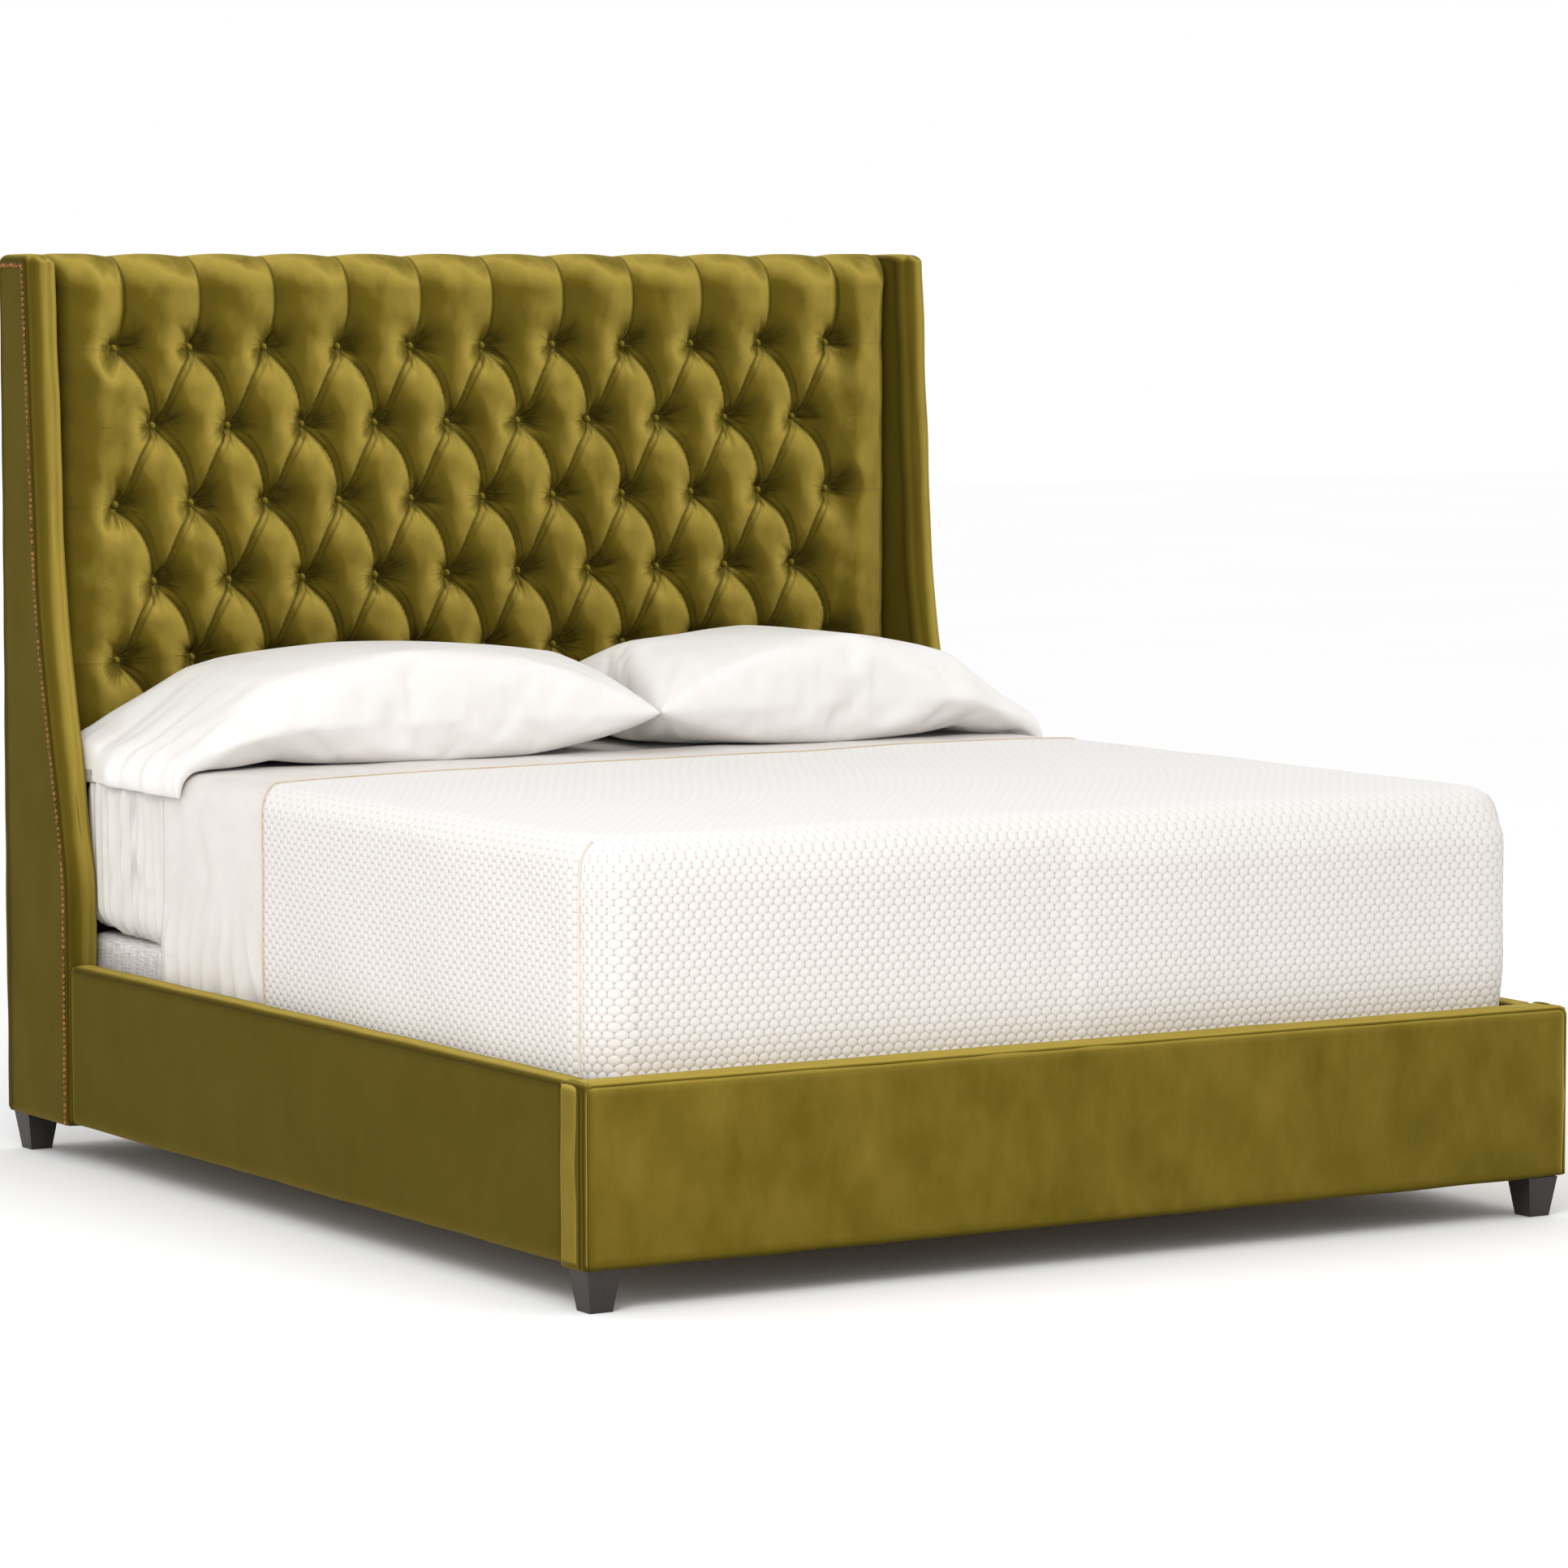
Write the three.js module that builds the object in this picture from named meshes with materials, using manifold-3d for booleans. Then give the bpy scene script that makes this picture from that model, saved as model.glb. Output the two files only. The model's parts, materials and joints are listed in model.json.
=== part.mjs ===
// Upholstered king bed: tufted wing headboard, padded rails and footboard, slatted base,
// box spring, mattress, bedding and two pillows. Millimetres, +Z up, the foot end towards -Y.
import * as THREE from 'three';
import { mergeVertices } from 'three/addons/utils/BufferGeometryUtils.js';
import Module from 'manifold-3d';

const wasm = await Module();
wasm.setup();

// ---- driving sizes -------------------------------------------------------------------------
const touch = 0.3;                 // gap kept between pieces that touch

// overall
const mattressWidth = 1920;
const mattressLength = 2020;
const sideClearance = 17;          // mattress side to rail, room for the tucked bedding
const footClearance = 16;          // mattress foot to footboard
const headClearance = 81;          // mattress head to the tufted face

// side rails and footboard
const railBottomZ = 77;
const railTopZ = 387;
const railThickness = 54;
const railBoardThickness = 30;
const railPadThickness = 18;       // outer face, top and underside padding
const footboardBottomZ = 74;
const footboardThickness = 84;
const footboardOverhang = 4;       // footboard end beyond the rail's outer face
const footboardPadFront = 20;
const footboardPadEdge = 16;
const footboardBackThickness = 6;
const edgeRound = 9;               // soft outer edge of rails and footboard
const weltRadius = 2.5;
const weltPitch = 14;
const weltInset = 6;               // first cord from the footboard's front face
const weltTape = 1.5;              // the strip that joins the two cords

// headboard
const headboardTopZ = 1758;
const wingTopZ = 1745;
const wingBottomZ = 74;
const wingThickness = 72;
const wingPad = 13;                // padding on the wing's faces
const wingBaseDepth = 280;
const wingFlareZ = 572;            // the wing is deepest from here down
const wingWaistDepth = 165;
const wingWaistZ = 1050;
const wingTopDepth = 118;
const wingFlareRound = 55;         // half length of the bend at the flare
const wingWaistRound = 130;        // half length of the bend at the waist
const nailStripWidth = 11;
const nailStripProud = 3;
const backClothThickness = 2;
const railLumber = 26;             // headboard rails, front to back
const headRailHeight = 90;
const boardThickness = 12;
const tuftedPadThickness = 60;
const tuftedPadBottomZ = 430;
const tuftedTopPad = 24;           // padding over the top rail
const lowerPadThickness = 20;

// tufting
const buttonPitchX = 165;
const buttonPitchZ = 154;
const buttonTopRowZ = 1578;
const buttonsInWideRow = 11;
const buttonRows = 6;
const buttonRadius = 10;
const buttonHeight = 7;
const dimpleDepth = 42;
const dimpleRadius = 16;
const twineRadius = 1.2;           // ties each button through the pad
const twineHoleRadius = 2;
const twineSpace = 3;              // room for the tied twine between the pad and the board

// slatted base
const ledgerSize = 30;
const slatCount = 5;
const slatWidth = 90;
const slatThickness = 18;
const slatTopZ = 211;
const slatEndGap = 4;
const slatFootInset = 150;         // first slat's centre from the footboard
const slatHeadInset = 60;          // last slat's centre from the rail's head end
const beamWidth = 44;
const beamHeight = 70;
const centreLegCount = 3;
const centreLegSize = 44;

// rail hook plates
const plateThickness = 3;
const plateWidth = 24;
const plateHeight = 150;
const hookThickness = 4;
const hookReach = 15;
const hookHeight = 26;
const hookDrop = 9;
const hookPitch = 80;
const hookClearance = 1;

// feet
const footTopSize = 66;
const footBottomSize = 44;
const footInset = 9;
const footBoltRadius = 4;
const footBoltInFoot = 45;
const footBoltInFrame = 60;
const boltClearance = 0.4;

// box spring
const springWidth = 1912;
const springHeight = 231;
const springFrameSize = 60;
const springFrameLumber = 22;
const springCrossSlats = 4;
const springDeckThickness = 45;
const springClothThickness = 3;

// mattress and bedding
const mattressHeight = 330;
const springToMattressGap = 4;
const mattressCornerRadius = 70;
const mattressEdgeRound = 36;
const sheetThickness = 2;
const coverletThickness = 8;
const fittedSheetTuckIn = 160;     // how far the fitted sheet reaches in under the mattress
const beddingHemZ = 262;           // lower edge of the tucked sheet and coverlet
const flatSheetHeadGap = 385;      // mattress head to the flat sheet's head edge
const coverletHeadGap = 815;       // mattress head to the coverlet's head edge

// pillows
const pillowLength = 860;
const pillowDepth = 480;
const pillowHeight = 205;
const pillowCrownShare = 0.62;     // part of the height above the seam
const pillowHemLeft = 150;         // pillowcase beyond the pillow at its open, outer end
const pillowHemRight = 26;
const pillowMeetX = 65;            // where the two pillows meet
const pillowHemThickness = 26;
const pillowCaseThickness = 2.5;
const pillowBetween = 8;
const pillowHeadGap = 12;          // pillow to the tufted face
const pillowSegments = 20;

// ---- derived places ------------------------------------------------------------------------
const railInnerX = mattressWidth / 2 + sideClearance;
const railOuterX = railInnerX + railThickness;
const footboardHalfWidth = railOuterX + footboardOverhang;
const wingOuterX = footboardHalfWidth + 3;
const wingInnerX = wingOuterX - wingThickness;
const padBackInset = backClothThickness + railLumber + boardThickness;
const bedLength = footboardThickness + footClearance + mattressLength + headClearance
  + tuftedPadThickness + twineSpace + padBackInset;
const headY = bedLength / 2;
const footY = -bedLength / 2;
const footboardBackY = footY + footboardThickness;
const mattressFootY = footboardBackY + footClearance;
const mattressHeadY = mattressFootY + mattressLength;
const wingFrontY = headY - wingBaseDepth;
const tuftedBackY = headY - padBackInset - twineSpace;
const tuftedFaceY = tuftedBackY - tuftedPadThickness;
const slatBottomZ = slatTopZ - slatThickness;
const springBottomZ = slatTopZ + touch;
const springTopZ = springBottomZ + springHeight;
const mattressBottomZ = springTopZ + springToMattressGap;
const mattressTopZ = mattressBottomZ + mattressHeight;
const sheetStep = sheetThickness + touch;
const beddingTopZ = mattressTopZ + 2 * sheetStep + touch;
const hookZ = (railBottomZ + railTopZ) / 2;
const wingCoreInnerX = wingInnerX + wingPad;
const wingCoreOuterX = wingOuterX - wingPad;
const railBoardInnerX = railInnerX + 2 * touch;
const railBoardOuterX = railBoardInnerX + railBoardThickness;
const plateX = (railBoardInnerX + railBoardOuterX) / 2;

// ---- materials -----------------------------------------------------------------------------
const material = (color, roughness, metalness = 0) =>
  new THREE.MeshStandardMaterial({ color, roughness, metalness });
const velvet = material(0x786a22, 0.85);
const lumber = material(0xb58d5c, 0.75);
const plywood = material(0xc9a878, 0.75);
const espresso = material(0x2a1c18, 0.4);
const steel = material(0x77797c, 0.4, 0.9);
const nailMetal = material(0x7a5a35, 0.35, 0.9);
const blackCloth = material(0x24221f, 0.95);
const linen = material(0xb9b6b2, 0.95);
const whiteCotton = material(0xf0ece2, 0.9);
const ticking = material(0xe9e6df, 0.9);

// ---- solids --------------------------------------------------------------------------------
const object = new THREE.Group();

function toManifold(geometry) {
  const bare = geometry.index ? geometry.toNonIndexed() : geometry.clone();
  bare.deleteAttribute('normal');
  bare.deleteAttribute('uv');
  const merged = mergeVertices(bare, 1e-4);
  return new wasm.Manifold(new wasm.Mesh({
    numProp: 3,
    vertProperties: new Float32Array(merged.attributes.position.array),
    triVerts: new Uint32Array(merged.index.array),
  }));
}

function toGeometry(solid) {
  const mesh = solid.getMesh();
  const geometry = new THREE.BufferGeometry();
  geometry.setAttribute('position', new THREE.BufferAttribute(mesh.vertProperties, 3));
  geometry.setIndex(new THREE.BufferAttribute(mesh.triVerts, 1));
  geometry.computeVertexNormals();
  return geometry;
}

const join = (geometries) =>
  toGeometry(geometries.map(toManifold).reduce((whole, solid) => whole.add(solid)));

const cut = (geometry, cutters) =>
  toGeometry(cutters.map(toManifold).reduce((rest, cutter) => rest.subtract(cutter),
    toManifold(geometry)));

function place(name, geometry, look) {
  const mesh = new THREE.Mesh(geometry, look);
  mesh.name = name;
  object.add(mesh);
}

// a box between two corners
function block(x0, x1, y0, y1, z0, z1) {
  const geometry = new THREE.BoxGeometry(x1 - x0, y1 - y0, z1 - z0);
  return geometry.translate((x0 + x1) / 2, (y0 + y1) / 2, (z0 + z1) / 2);
}

// an upright cylinder
function rod(x, y, z0, z1, radius, sides = 8) {
  const geometry = new THREE.CylinderGeometry(radius, radius, z1 - z0, sides);
  return geometry.rotateX(Math.PI / 2).translate(x, y, (z0 + z1) / 2);
}

// a solid mirrored to the other side of the bed
function mirrored(geometry) {
  const copy = geometry.index ? geometry.toNonIndexed() : geometry.clone();
  const position = copy.attributes.position;
  for (let i = 0; i < position.count; i += 3) {
    const corners = [0, 1, 2].map((k) => new THREE.Vector3().fromBufferAttribute(position, i + k));
    corners.reverse().forEach((p, k) => position.setXYZ(i + k, -p.x, p.y, p.z));
  }
  return copy;
}

// the same piece on both sides, given as the one on the right
function placePair(name, geometry, look) {
  place(`${name}_left`, mirrored(geometry), look);
  place(`${name}_right`, geometry, look);
}

// a rectangle with each corner rounded by its own radius, counter-clockwise from low x, low y
function roundedRectangle(x0, x1, y0, y1, radii) {
  const shape = new THREE.Shape();
  const corners = [[x0, y0, 1, 1], [x1, y0, -1, 1], [x1, y1, -1, -1], [x0, y1, 1, -1]];
  corners.forEach(([x, y, inX, inY], i) => {
    const r = radii[i];
    const start = (2 + i) * Math.PI / 2;
    if (r > 0) shape.absarc(x + inX * r, y + inY * r, r, start, start + Math.PI / 2, false);
    else if (i === 0) shape.moveTo(x, y);
    else shape.lineTo(x, y);
  });
  return shape;
}

// an outline drawn in X and Z, run along Y
function alongY(shape, y0, y1, curveSegments = 4) {
  const geometry = new THREE.ExtrudeGeometry(shape,
    { depth: y1 - y0, bevelEnabled: false, curveSegments });
  return geometry.rotateX(Math.PI / 2).translate(0, y1, 0);
}

// an outline drawn in Y and Z, run along X
function alongX(shape, x0, x1, curveSegments = 4) {
  const geometry = new THREE.ExtrudeGeometry(shape,
    { depth: x1 - x0, bevelEnabled: false, curveSegments });
  return geometry.rotateZ(Math.PI / 2).rotateY(Math.PI / 2).translate(x0, 0, 0);
}

// a slab with rounded upright corners and rounded top and bottom edges
function softSlab(halfWidth, y0, y1, z0, z1, cornerRadius, edgeRadius) {
  const e = edgeRadius;
  const r = cornerRadius - e;
  const shape = roundedRectangle(-halfWidth + e, halfWidth - e, y0 + e, y1 - e, [r, r, r, r]);
  const geometry = new THREE.ExtrudeGeometry(shape, {
    depth: z1 - z0 - 2 * e,
    bevelThickness: e,
    bevelSize: e,
    bevelSegments: 3,
    curveSegments: 3,
  });
  return geometry.translate(0, 0, z0 + e);
}

// ---- wings ---------------------------------------------------------------------------------
// the wing's side outline, drawn with depth towards the foot as -Y, set back by an inset
function wingOutline(inset, bottomZ = wingBottomZ, backY = headY) {
  const front = (depth) => headY - depth + inset;
  const flare = [front(wingBaseDepth), wingFlareZ];
  const waist = [front(wingWaistDepth), wingWaistZ];
  const top = [front(wingTopDepth), wingTopZ - inset];
  const toward = ([y0, z0], [y1, z1], distance) => {
    const share = distance / Math.hypot(y1 - y0, z1 - z0);
    return [y0 + (y1 - y0) * share, z0 + (z1 - z0) * share];
  };
  const shape = new THREE.Shape();
  shape.moveTo(backY, bottomZ);
  shape.lineTo(backY, wingTopZ - inset);
  shape.lineTo(...top);
  shape.lineTo(...toward(waist, top, wingWaistRound));
  shape.quadraticCurveTo(...waist, ...toward(waist, flare, wingWaistRound));
  shape.lineTo(...toward(flare, waist, wingFlareRound));
  shape.quadraticCurveTo(...flare, flare[0], flare[1] - wingFlareRound);
  shape.lineTo(flare[0], bottomZ);
  shape.closePath();
  return shape;
}

function wings() {
  const hooks = hookSlots(wingFrontY, 1);
  const bolt = footBoltHole(footCentreX(wingOuterX), backFootY, wingBottomZ);
  const core = alongX(wingOutline(wingPad), wingCoreInnerX, wingCoreOuterX);
  placePair('wing_core', cut(core, [...hooks, bolt]), lumber);
  placePair('wing_outer_panel',
    alongX(wingOutline(0), wingCoreOuterX + touch, wingOuterX), velvet);
  placePair('wing_inner_panel',
    alongX(wingOutline(0), wingInnerX, wingCoreInnerX - touch), velvet);
  const frontBand = cut(
    alongX(wingOutline(0), wingCoreInnerX, wingCoreOuterX),
    [alongX(wingOutline(wingPad - touch, wingBottomZ - wingPad, headY + wingPad),
      wingCoreInnerX - wingPad, wingCoreOuterX + wingPad), ...hooks]);
  placePair('wing_front_band', frontBand, velvet);
}

function nailTrim() {
  const x0 = wingOuterX + touch;
  const x1 = wingOuterX + nailStripProud;
  const strip = cut(alongX(wingOutline(0), x0, x1),
    [alongX(wingOutline(nailStripWidth, wingBottomZ - nailStripWidth, headY + nailStripWidth),
      x0 - nailStripProud, x1 + nailStripProud)]);
  placePair('nail_trim', strip, nailMetal);
}

// ---- headboard between the wings -----------------------------------------------------------
function headboardFrame() {
  const halfWidth = wingInnerX - touch;
  const back = headY - backClothThickness - touch;
  const front = headY - backClothThickness - railLumber;
  const topRailTopZ = headboardTopZ - tuftedTopPad;
  const railTops = {
    headboard_top_rail: topRailTopZ,
    headboard_bottom_rail: wingBottomZ + headRailHeight,
  };
  for (const [name, topZ] of Object.entries(railTops)) {
    place(name, block(-halfWidth, halfWidth, front, back, topZ - headRailHeight, topZ), lumber);
  }
  place('headboard_board', block(-halfWidth, halfWidth, front - boardThickness, front - touch,
    wingBottomZ, topRailTopZ), plywood);
  place('headboard_back_cloth', block(-halfWidth, halfWidth, headY - backClothThickness, headY,
    wingBottomZ, topRailTopZ), blackCloth);
}

// the centres of the covered buttons, in offset rows that make diamonds
function buttonCentres() {
  const centres = [];
  for (let row = 0; row < buttonRows; row += 1) {
    const count = buttonsInWideRow - (row % 2);
    for (let i = 0; i < count; i += 1) {
      centres.push([(i - (count - 1) / 2) * buttonPitchX, buttonTopRowZ - row * buttonPitchZ]);
    }
  }
  return centres;
}

// a short cylinder along Y
function disc(x, z, y0, y1, radius, sides) {
  const geometry = new THREE.CylinderGeometry(radius, radius, y1 - y0, sides);
  return geometry.translate(x, (y0 + y1) / 2, z);
}

function tuftedPad() {
  const halfWidth = wingInnerX - touch;
  const round = tuftedTopPad;
  const shape = new THREE.Shape();
  shape.moveTo(tuftedFaceY, tuftedPadBottomZ);
  shape.lineTo(tuftedBackY, tuftedPadBottomZ);
  shape.lineTo(tuftedBackY, headboardTopZ - tuftedTopPad + touch);
  shape.lineTo(headY, headboardTopZ - tuftedTopPad + touch);
  shape.lineTo(headY, headboardTopZ);
  shape.lineTo(tuftedFaceY + round, headboardTopZ);
  shape.absarc(tuftedFaceY + round, headboardTopZ - round, round, Math.PI / 2, Math.PI, false);
  shape.closePath();
  const holes = buttonCentres().flatMap(([x, z]) => [
    disc(x, z, tuftedFaceY - dimpleDepth, tuftedFaceY + dimpleDepth, dimpleRadius, 6),
    disc(x, z, tuftedFaceY, tuftedBackY + dimpleDepth, twineHoleRadius, 4),
  ]);
  place('tufted_pad', cut(alongX(shape, -halfWidth, halfWidth), holes), velvet);
}

// the covered buttons, each on its twine, and the twine tied in rows behind the pad
function tuftButtons() {
  const centres = buttonCentres();
  const buttonBackY = tuftedFaceY + dimpleDepth - touch;
  const tieY = tuftedBackY + twineSpace / 2;
  const reachX = Math.max(...centres.map(([x]) => x));
  const rowZs = [...new Set(centres.map(([, z]) => z))];
  const tie = (x0, x1, z0, z1) => block(x0 - twineRadius, x1 + twineRadius,
    tieY - twineRadius, tieY + twineRadius, z0 - twineRadius, z1 + twineRadius);
  place('tuft_buttons', join([
    ...centres.map(([x, z]) => disc(x, z, buttonBackY - buttonHeight, buttonBackY,
      buttonRadius, 6)),
    ...centres.map(([x, z]) => disc(x, z, buttonBackY - buttonHeight / 2, tieY,
      twineRadius, 4)),
    ...rowZs.map((z) => tie(-reachX, reachX, z, z)),
    tie(0, 0, Math.min(...rowZs), Math.max(...rowZs)),
  ]), velvet);
}

function lowerPanel() {
  const halfWidth = wingInnerX - touch;
  const back = headY - padBackInset - touch;
  place('headboard_lower_panel', block(-halfWidth, halfWidth, back - lowerPadThickness, back,
    wingBottomZ, tuftedPadBottomZ - touch), velvet);
}

// ---- rails and footboard -------------------------------------------------------------------
const railFootY = footboardBackY + touch;
const railHeadY = wingFrontY - touch;

// the two slots that a hook plate's hooks drop into, towards +Y (1) or -Y (-1) of a face
function hookSlots(faceY, direction) {
  const deep = faceY + direction * (hookReach + hookClearance);
  const shallow = faceY - direction * hookReach;
  const halfX = hookThickness / 2 + hookClearance;
  return [-hookPitch / 2, hookPitch / 2].map((dz) => block(plateX - halfX, plateX + halfX,
    Math.min(deep, shallow), Math.max(deep, shallow),
    hookZ + dz - hookHeight / 2 - hookDrop - hookClearance,
    hookZ + dz + hookHeight / 2 + hookDrop + hookClearance));
}

// a steel plate on a rail's end, with two hooks that point away from the rail
function hookPlate(faceY, direction) {
  const span = (from, to) => [Math.min(from, to), Math.max(from, to)];
  const solids = [block(plateX - plateWidth / 2, plateX + plateWidth / 2,
    ...span(faceY - direction * touch, faceY - direction * (touch + plateThickness)),
    hookZ - plateHeight / 2, hookZ + plateHeight / 2)];
  for (const dz of [-hookPitch / 2, hookPitch / 2]) {
    const middle = hookZ + dz;
    const root = faceY - direction * (touch + plateThickness / 2);
    const neck = faceY + direction * hookReach / 2;
    const tip = faceY + direction * hookReach;
    const x0 = plateX - hookThickness / 2;
    const x1 = plateX + hookThickness / 2;
    solids.push(block(x0, x1, ...span(root, neck), middle - hookHeight / 2,
      middle + hookHeight / 2));
    solids.push(block(x0, x1, ...span(neck - direction, tip),
      middle - hookHeight / 2 - hookDrop, middle + hookHeight / 2));
  }
  return join(solids);
}

function sideRails() {
  const boardBottomZ = railBottomZ + railPadThickness / 2;
  const boardTopZ = railTopZ - railPadThickness;
  const plateGap = plateThickness + 2 * touch;
  const board = block(railBoardInnerX, railBoardOuterX, railFootY + plateGap, railHeadY - plateGap,
    boardBottomZ, boardTopZ);
  placePair('side_rail_board', board, lumber);
  const outline = roundedRectangle(railInnerX, railOuterX, railBottomZ, railTopZ,
    [0, edgeRound, 2 * edgeRound, edgeRound]);
  const hollow = block(railInnerX - railThickness, railBoardOuterX + touch,
    railFootY - railThickness, railHeadY + railThickness,
    boardBottomZ - touch, boardTopZ + touch);
  placePair('side_rail_cover', cut(alongY(outline, railFootY, railHeadY), [hollow]), velvet);
}

function hookPlates() {
  placePair('rail_hook_plate_foot', hookPlate(footboardBackY, -1), steel);
  placePair('rail_hook_plate_head', hookPlate(wingFrontY, 1), steel);
}

function footboard() {
  const coreHalfWidth = footboardHalfWidth - footboardPadEdge;
  const coreFrontY = footY + footboardPadFront;
  const coreBackY = footboardBackY - footboardBackThickness;
  const coreBottomZ = footboardBottomZ + footboardPadEdge / 2;
  const coreTopZ = railTopZ - footboardPadEdge;
  const rightSlots = hookSlots(footboardBackY, -1);
  const slots = [...rightSlots, ...rightSlots.map(mirrored)];
  const bolts = [-1, 1].map((side) =>
    footBoltHole(side * footCentreX(footboardHalfWidth), frontFootY, footboardBottomZ));
  const core = block(-coreHalfWidth, coreHalfWidth, coreFrontY, coreBackY, coreBottomZ, coreTopZ);
  place('footboard_core', cut(core, [...slots, ...bolts]), lumber);
  const outline = roundedRectangle(-footboardHalfWidth, footboardHalfWidth,
    footboardBottomZ, railTopZ, [edgeRound, edgeRound, edgeRound, edgeRound]);
  const hollow = block(-coreHalfWidth - touch, coreHalfWidth + touch, coreFrontY - touch,
    footboardBackY + footboardThickness, coreBottomZ - touch, coreTopZ + touch);
  place('footboard_cover',
    cut(alongY(outline, footY, footboardBackY), [hollow, ...bolts]), velvet);
  const backPanel = block(-coreHalfWidth, coreHalfWidth, coreBackY + touch, footboardBackY,
    coreBottomZ, coreTopZ);
  place('footboard_back_panel', cut(backPanel, slots), velvet);
}

// double welt: two upright cords on one strip, sewn to each end of the footboard
function footboardWelts() {
  const x = footboardHalfWidth + touch + weltRadius;
  const z0 = footboardBottomZ + edgeRound;
  const z1 = railTopZ - edgeRound;
  const y0 = footY + weltInset;
  const y1 = y0 + weltPitch;
  placePair('footboard_welt', join([
    rod(x, y0, z0, z1, weltRadius, 6),
    rod(x, y1, z0, z1, weltRadius, 6),
    block(x - weltTape / 2, x + weltTape / 2, y0, y1, z0, z1),
  ]), velvet);
}

// ---- slatted base --------------------------------------------------------------------------
const ledgerInnerX = railInnerX - ledgerSize;
const slatFirstY = footboardBackY + slatFootInset;
const slatLastY = wingFrontY - slatHeadInset;
const slatYs = Array.from({ length: slatCount },
  (_, i) => slatFirstY + (slatLastY - slatFirstY) * i / (slatCount - 1));

function slattedBase() {
  const ledger = block(ledgerInnerX, railInnerX, railFootY, railHeadY,
    slatBottomZ - touch - ledgerSize, slatBottomZ - touch);
  placePair('slat_ledger', ledger, lumber);
  const halfLength = railInnerX - slatEndGap;
  slatYs.forEach((y, i) => {
    place(`slat_${i + 1}`, block(-halfLength, halfLength, y - slatWidth / 2, y + slatWidth / 2,
      slatBottomZ, slatTopZ), plywood);
  });
}

function centreSupport() {
  const topZ = slatBottomZ - touch;
  const bottomZ = topZ - beamHeight;
  const beamHeadY = headY - padBackInset - lowerPadThickness - 2 * touch;
  place('centre_beam', block(-beamWidth / 2, beamWidth / 2, footboardBackY + touch, beamHeadY,
    bottomZ, topZ), lumber);
  for (let i = 0; i < centreLegCount; i += 1) {
    const y = slatFirstY + (slatLastY - slatFirstY) * (i + 0.5) / centreLegCount;
    place(`centre_leg_${i + 1}`, block(-centreLegSize / 2, centreLegSize / 2,
      y - centreLegSize / 2, y + centreLegSize / 2, 0, bottomZ - touch), lumber);
  }
}

// ---- feet ----------------------------------------------------------------------------------
const frontFootY = footY + footboardThickness / 2;
const backFootY = headY - footInset - footTopSize / 2;

function footCentreX(outerX) {
  return outerX - footInset - footTopSize / 2;
}

function footBoltHole(x, y, frameBottomZ) {
  return rod(x, y, frameBottomZ - footBoltInFoot - touch, frameBottomZ + footBoltInFrame + touch,
    footBoltRadius + boltClearance);
}

// a square foot that tapers to the floor
function taperedFoot(x, y, topZ) {
  const diagonal = Math.SQRT1_2;
  const geometry = new THREE.CylinderGeometry(footTopSize * diagonal, footBottomSize * diagonal,
    topZ, 4, 1, false, Math.PI / 4);
  return geometry.rotateX(Math.PI / 2).translate(x, y, topZ / 2);
}

function feet() {
  const spots = {
    front: [footCentreX(footboardHalfWidth), frontFootY, footboardBottomZ],
    back: [footCentreX(wingOuterX), backFootY, wingBottomZ],
  };
  for (const [end, [x, y, frameZ]] of Object.entries(spots)) {
    const foot = cut(taperedFoot(x, y, frameZ - touch), [footBoltHole(x, y, frameZ)]);
    placePair(`foot_${end}`, foot, espresso);
    const bolt = rod(x, y, frameZ - footBoltInFoot, frameZ + footBoltInFrame, footBoltRadius);
    placePair(`foot_bolt_${end}`, bolt, steel);
  }
}

// ---- box spring ----------------------------------------------------------------------------
function boxSpring() {
  const halfWidth = springWidth / 2;
  const inner = springClothThickness + touch;
  const deckBottomZ = springTopZ - inner - springDeckThickness;
  const x = halfWidth - inner;
  const y0 = mattressFootY + inner;
  const y1 = mattressHeadY - inner;
  const lumberBottomZ = springBottomZ + touch;
  const lumberTopZ = deckBottomZ - touch;
  const corner = mattressCornerRadius - inner;
  const ring = cut(roundedPlan(x, y0, y1, lumberBottomZ, lumberTopZ, corner),
    [block(-x + springFrameLumber, x - springFrameLumber, y0 + springFrameLumber,
      y1 - springFrameLumber, springBottomZ, springTopZ)]);
  const members = Array.from({ length: springCrossSlats }, (_, i) => {
    const y = y0 + (y1 - y0) * (i + 1) / (springCrossSlats + 1);
    const halfLength = x - springFrameLumber / 2;
    return join([
      block(-halfLength, halfLength, y - springFrameSize / 2, y + springFrameSize / 2,
        lumberBottomZ + touch, lumberBottomZ + springFrameLumber),
      block(-halfLength, halfLength, y - springFrameLumber / 2, y + springFrameLumber / 2,
        lumberBottomZ + springFrameLumber / 2, lumberTopZ - touch),
    ]);
  });
  place('box_spring_frame', join([ring, ...members]), lumber);
  place('box_spring_deck', roundedPlan(x, y0, y1, deckBottomZ, springTopZ - inner, corner),
    ticking);
  const outer = roundedPlan(halfWidth, mattressFootY, mattressHeadY, springBottomZ, springTopZ,
    mattressCornerRadius);
  const hollow = roundedPlan(x + touch, y0 - touch, y1 + touch, springBottomZ - springHeight,
    springTopZ - springClothThickness, corner + touch);
  place('box_spring_cover', cut(outer, [hollow]), linen);
}

// a plate with rounded upright corners
function roundedPlan(halfWidth, y0, y1, z0, z1, radius) {
  const shape = roundedRectangle(-halfWidth, halfWidth, y0, y1, [radius, radius, radius, radius]);
  const geometry = new THREE.ExtrudeGeometry(shape,
    { depth: z1 - z0, bevelEnabled: false, curveSegments: 4 });
  return geometry.translate(0, 0, z0);
}

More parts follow.
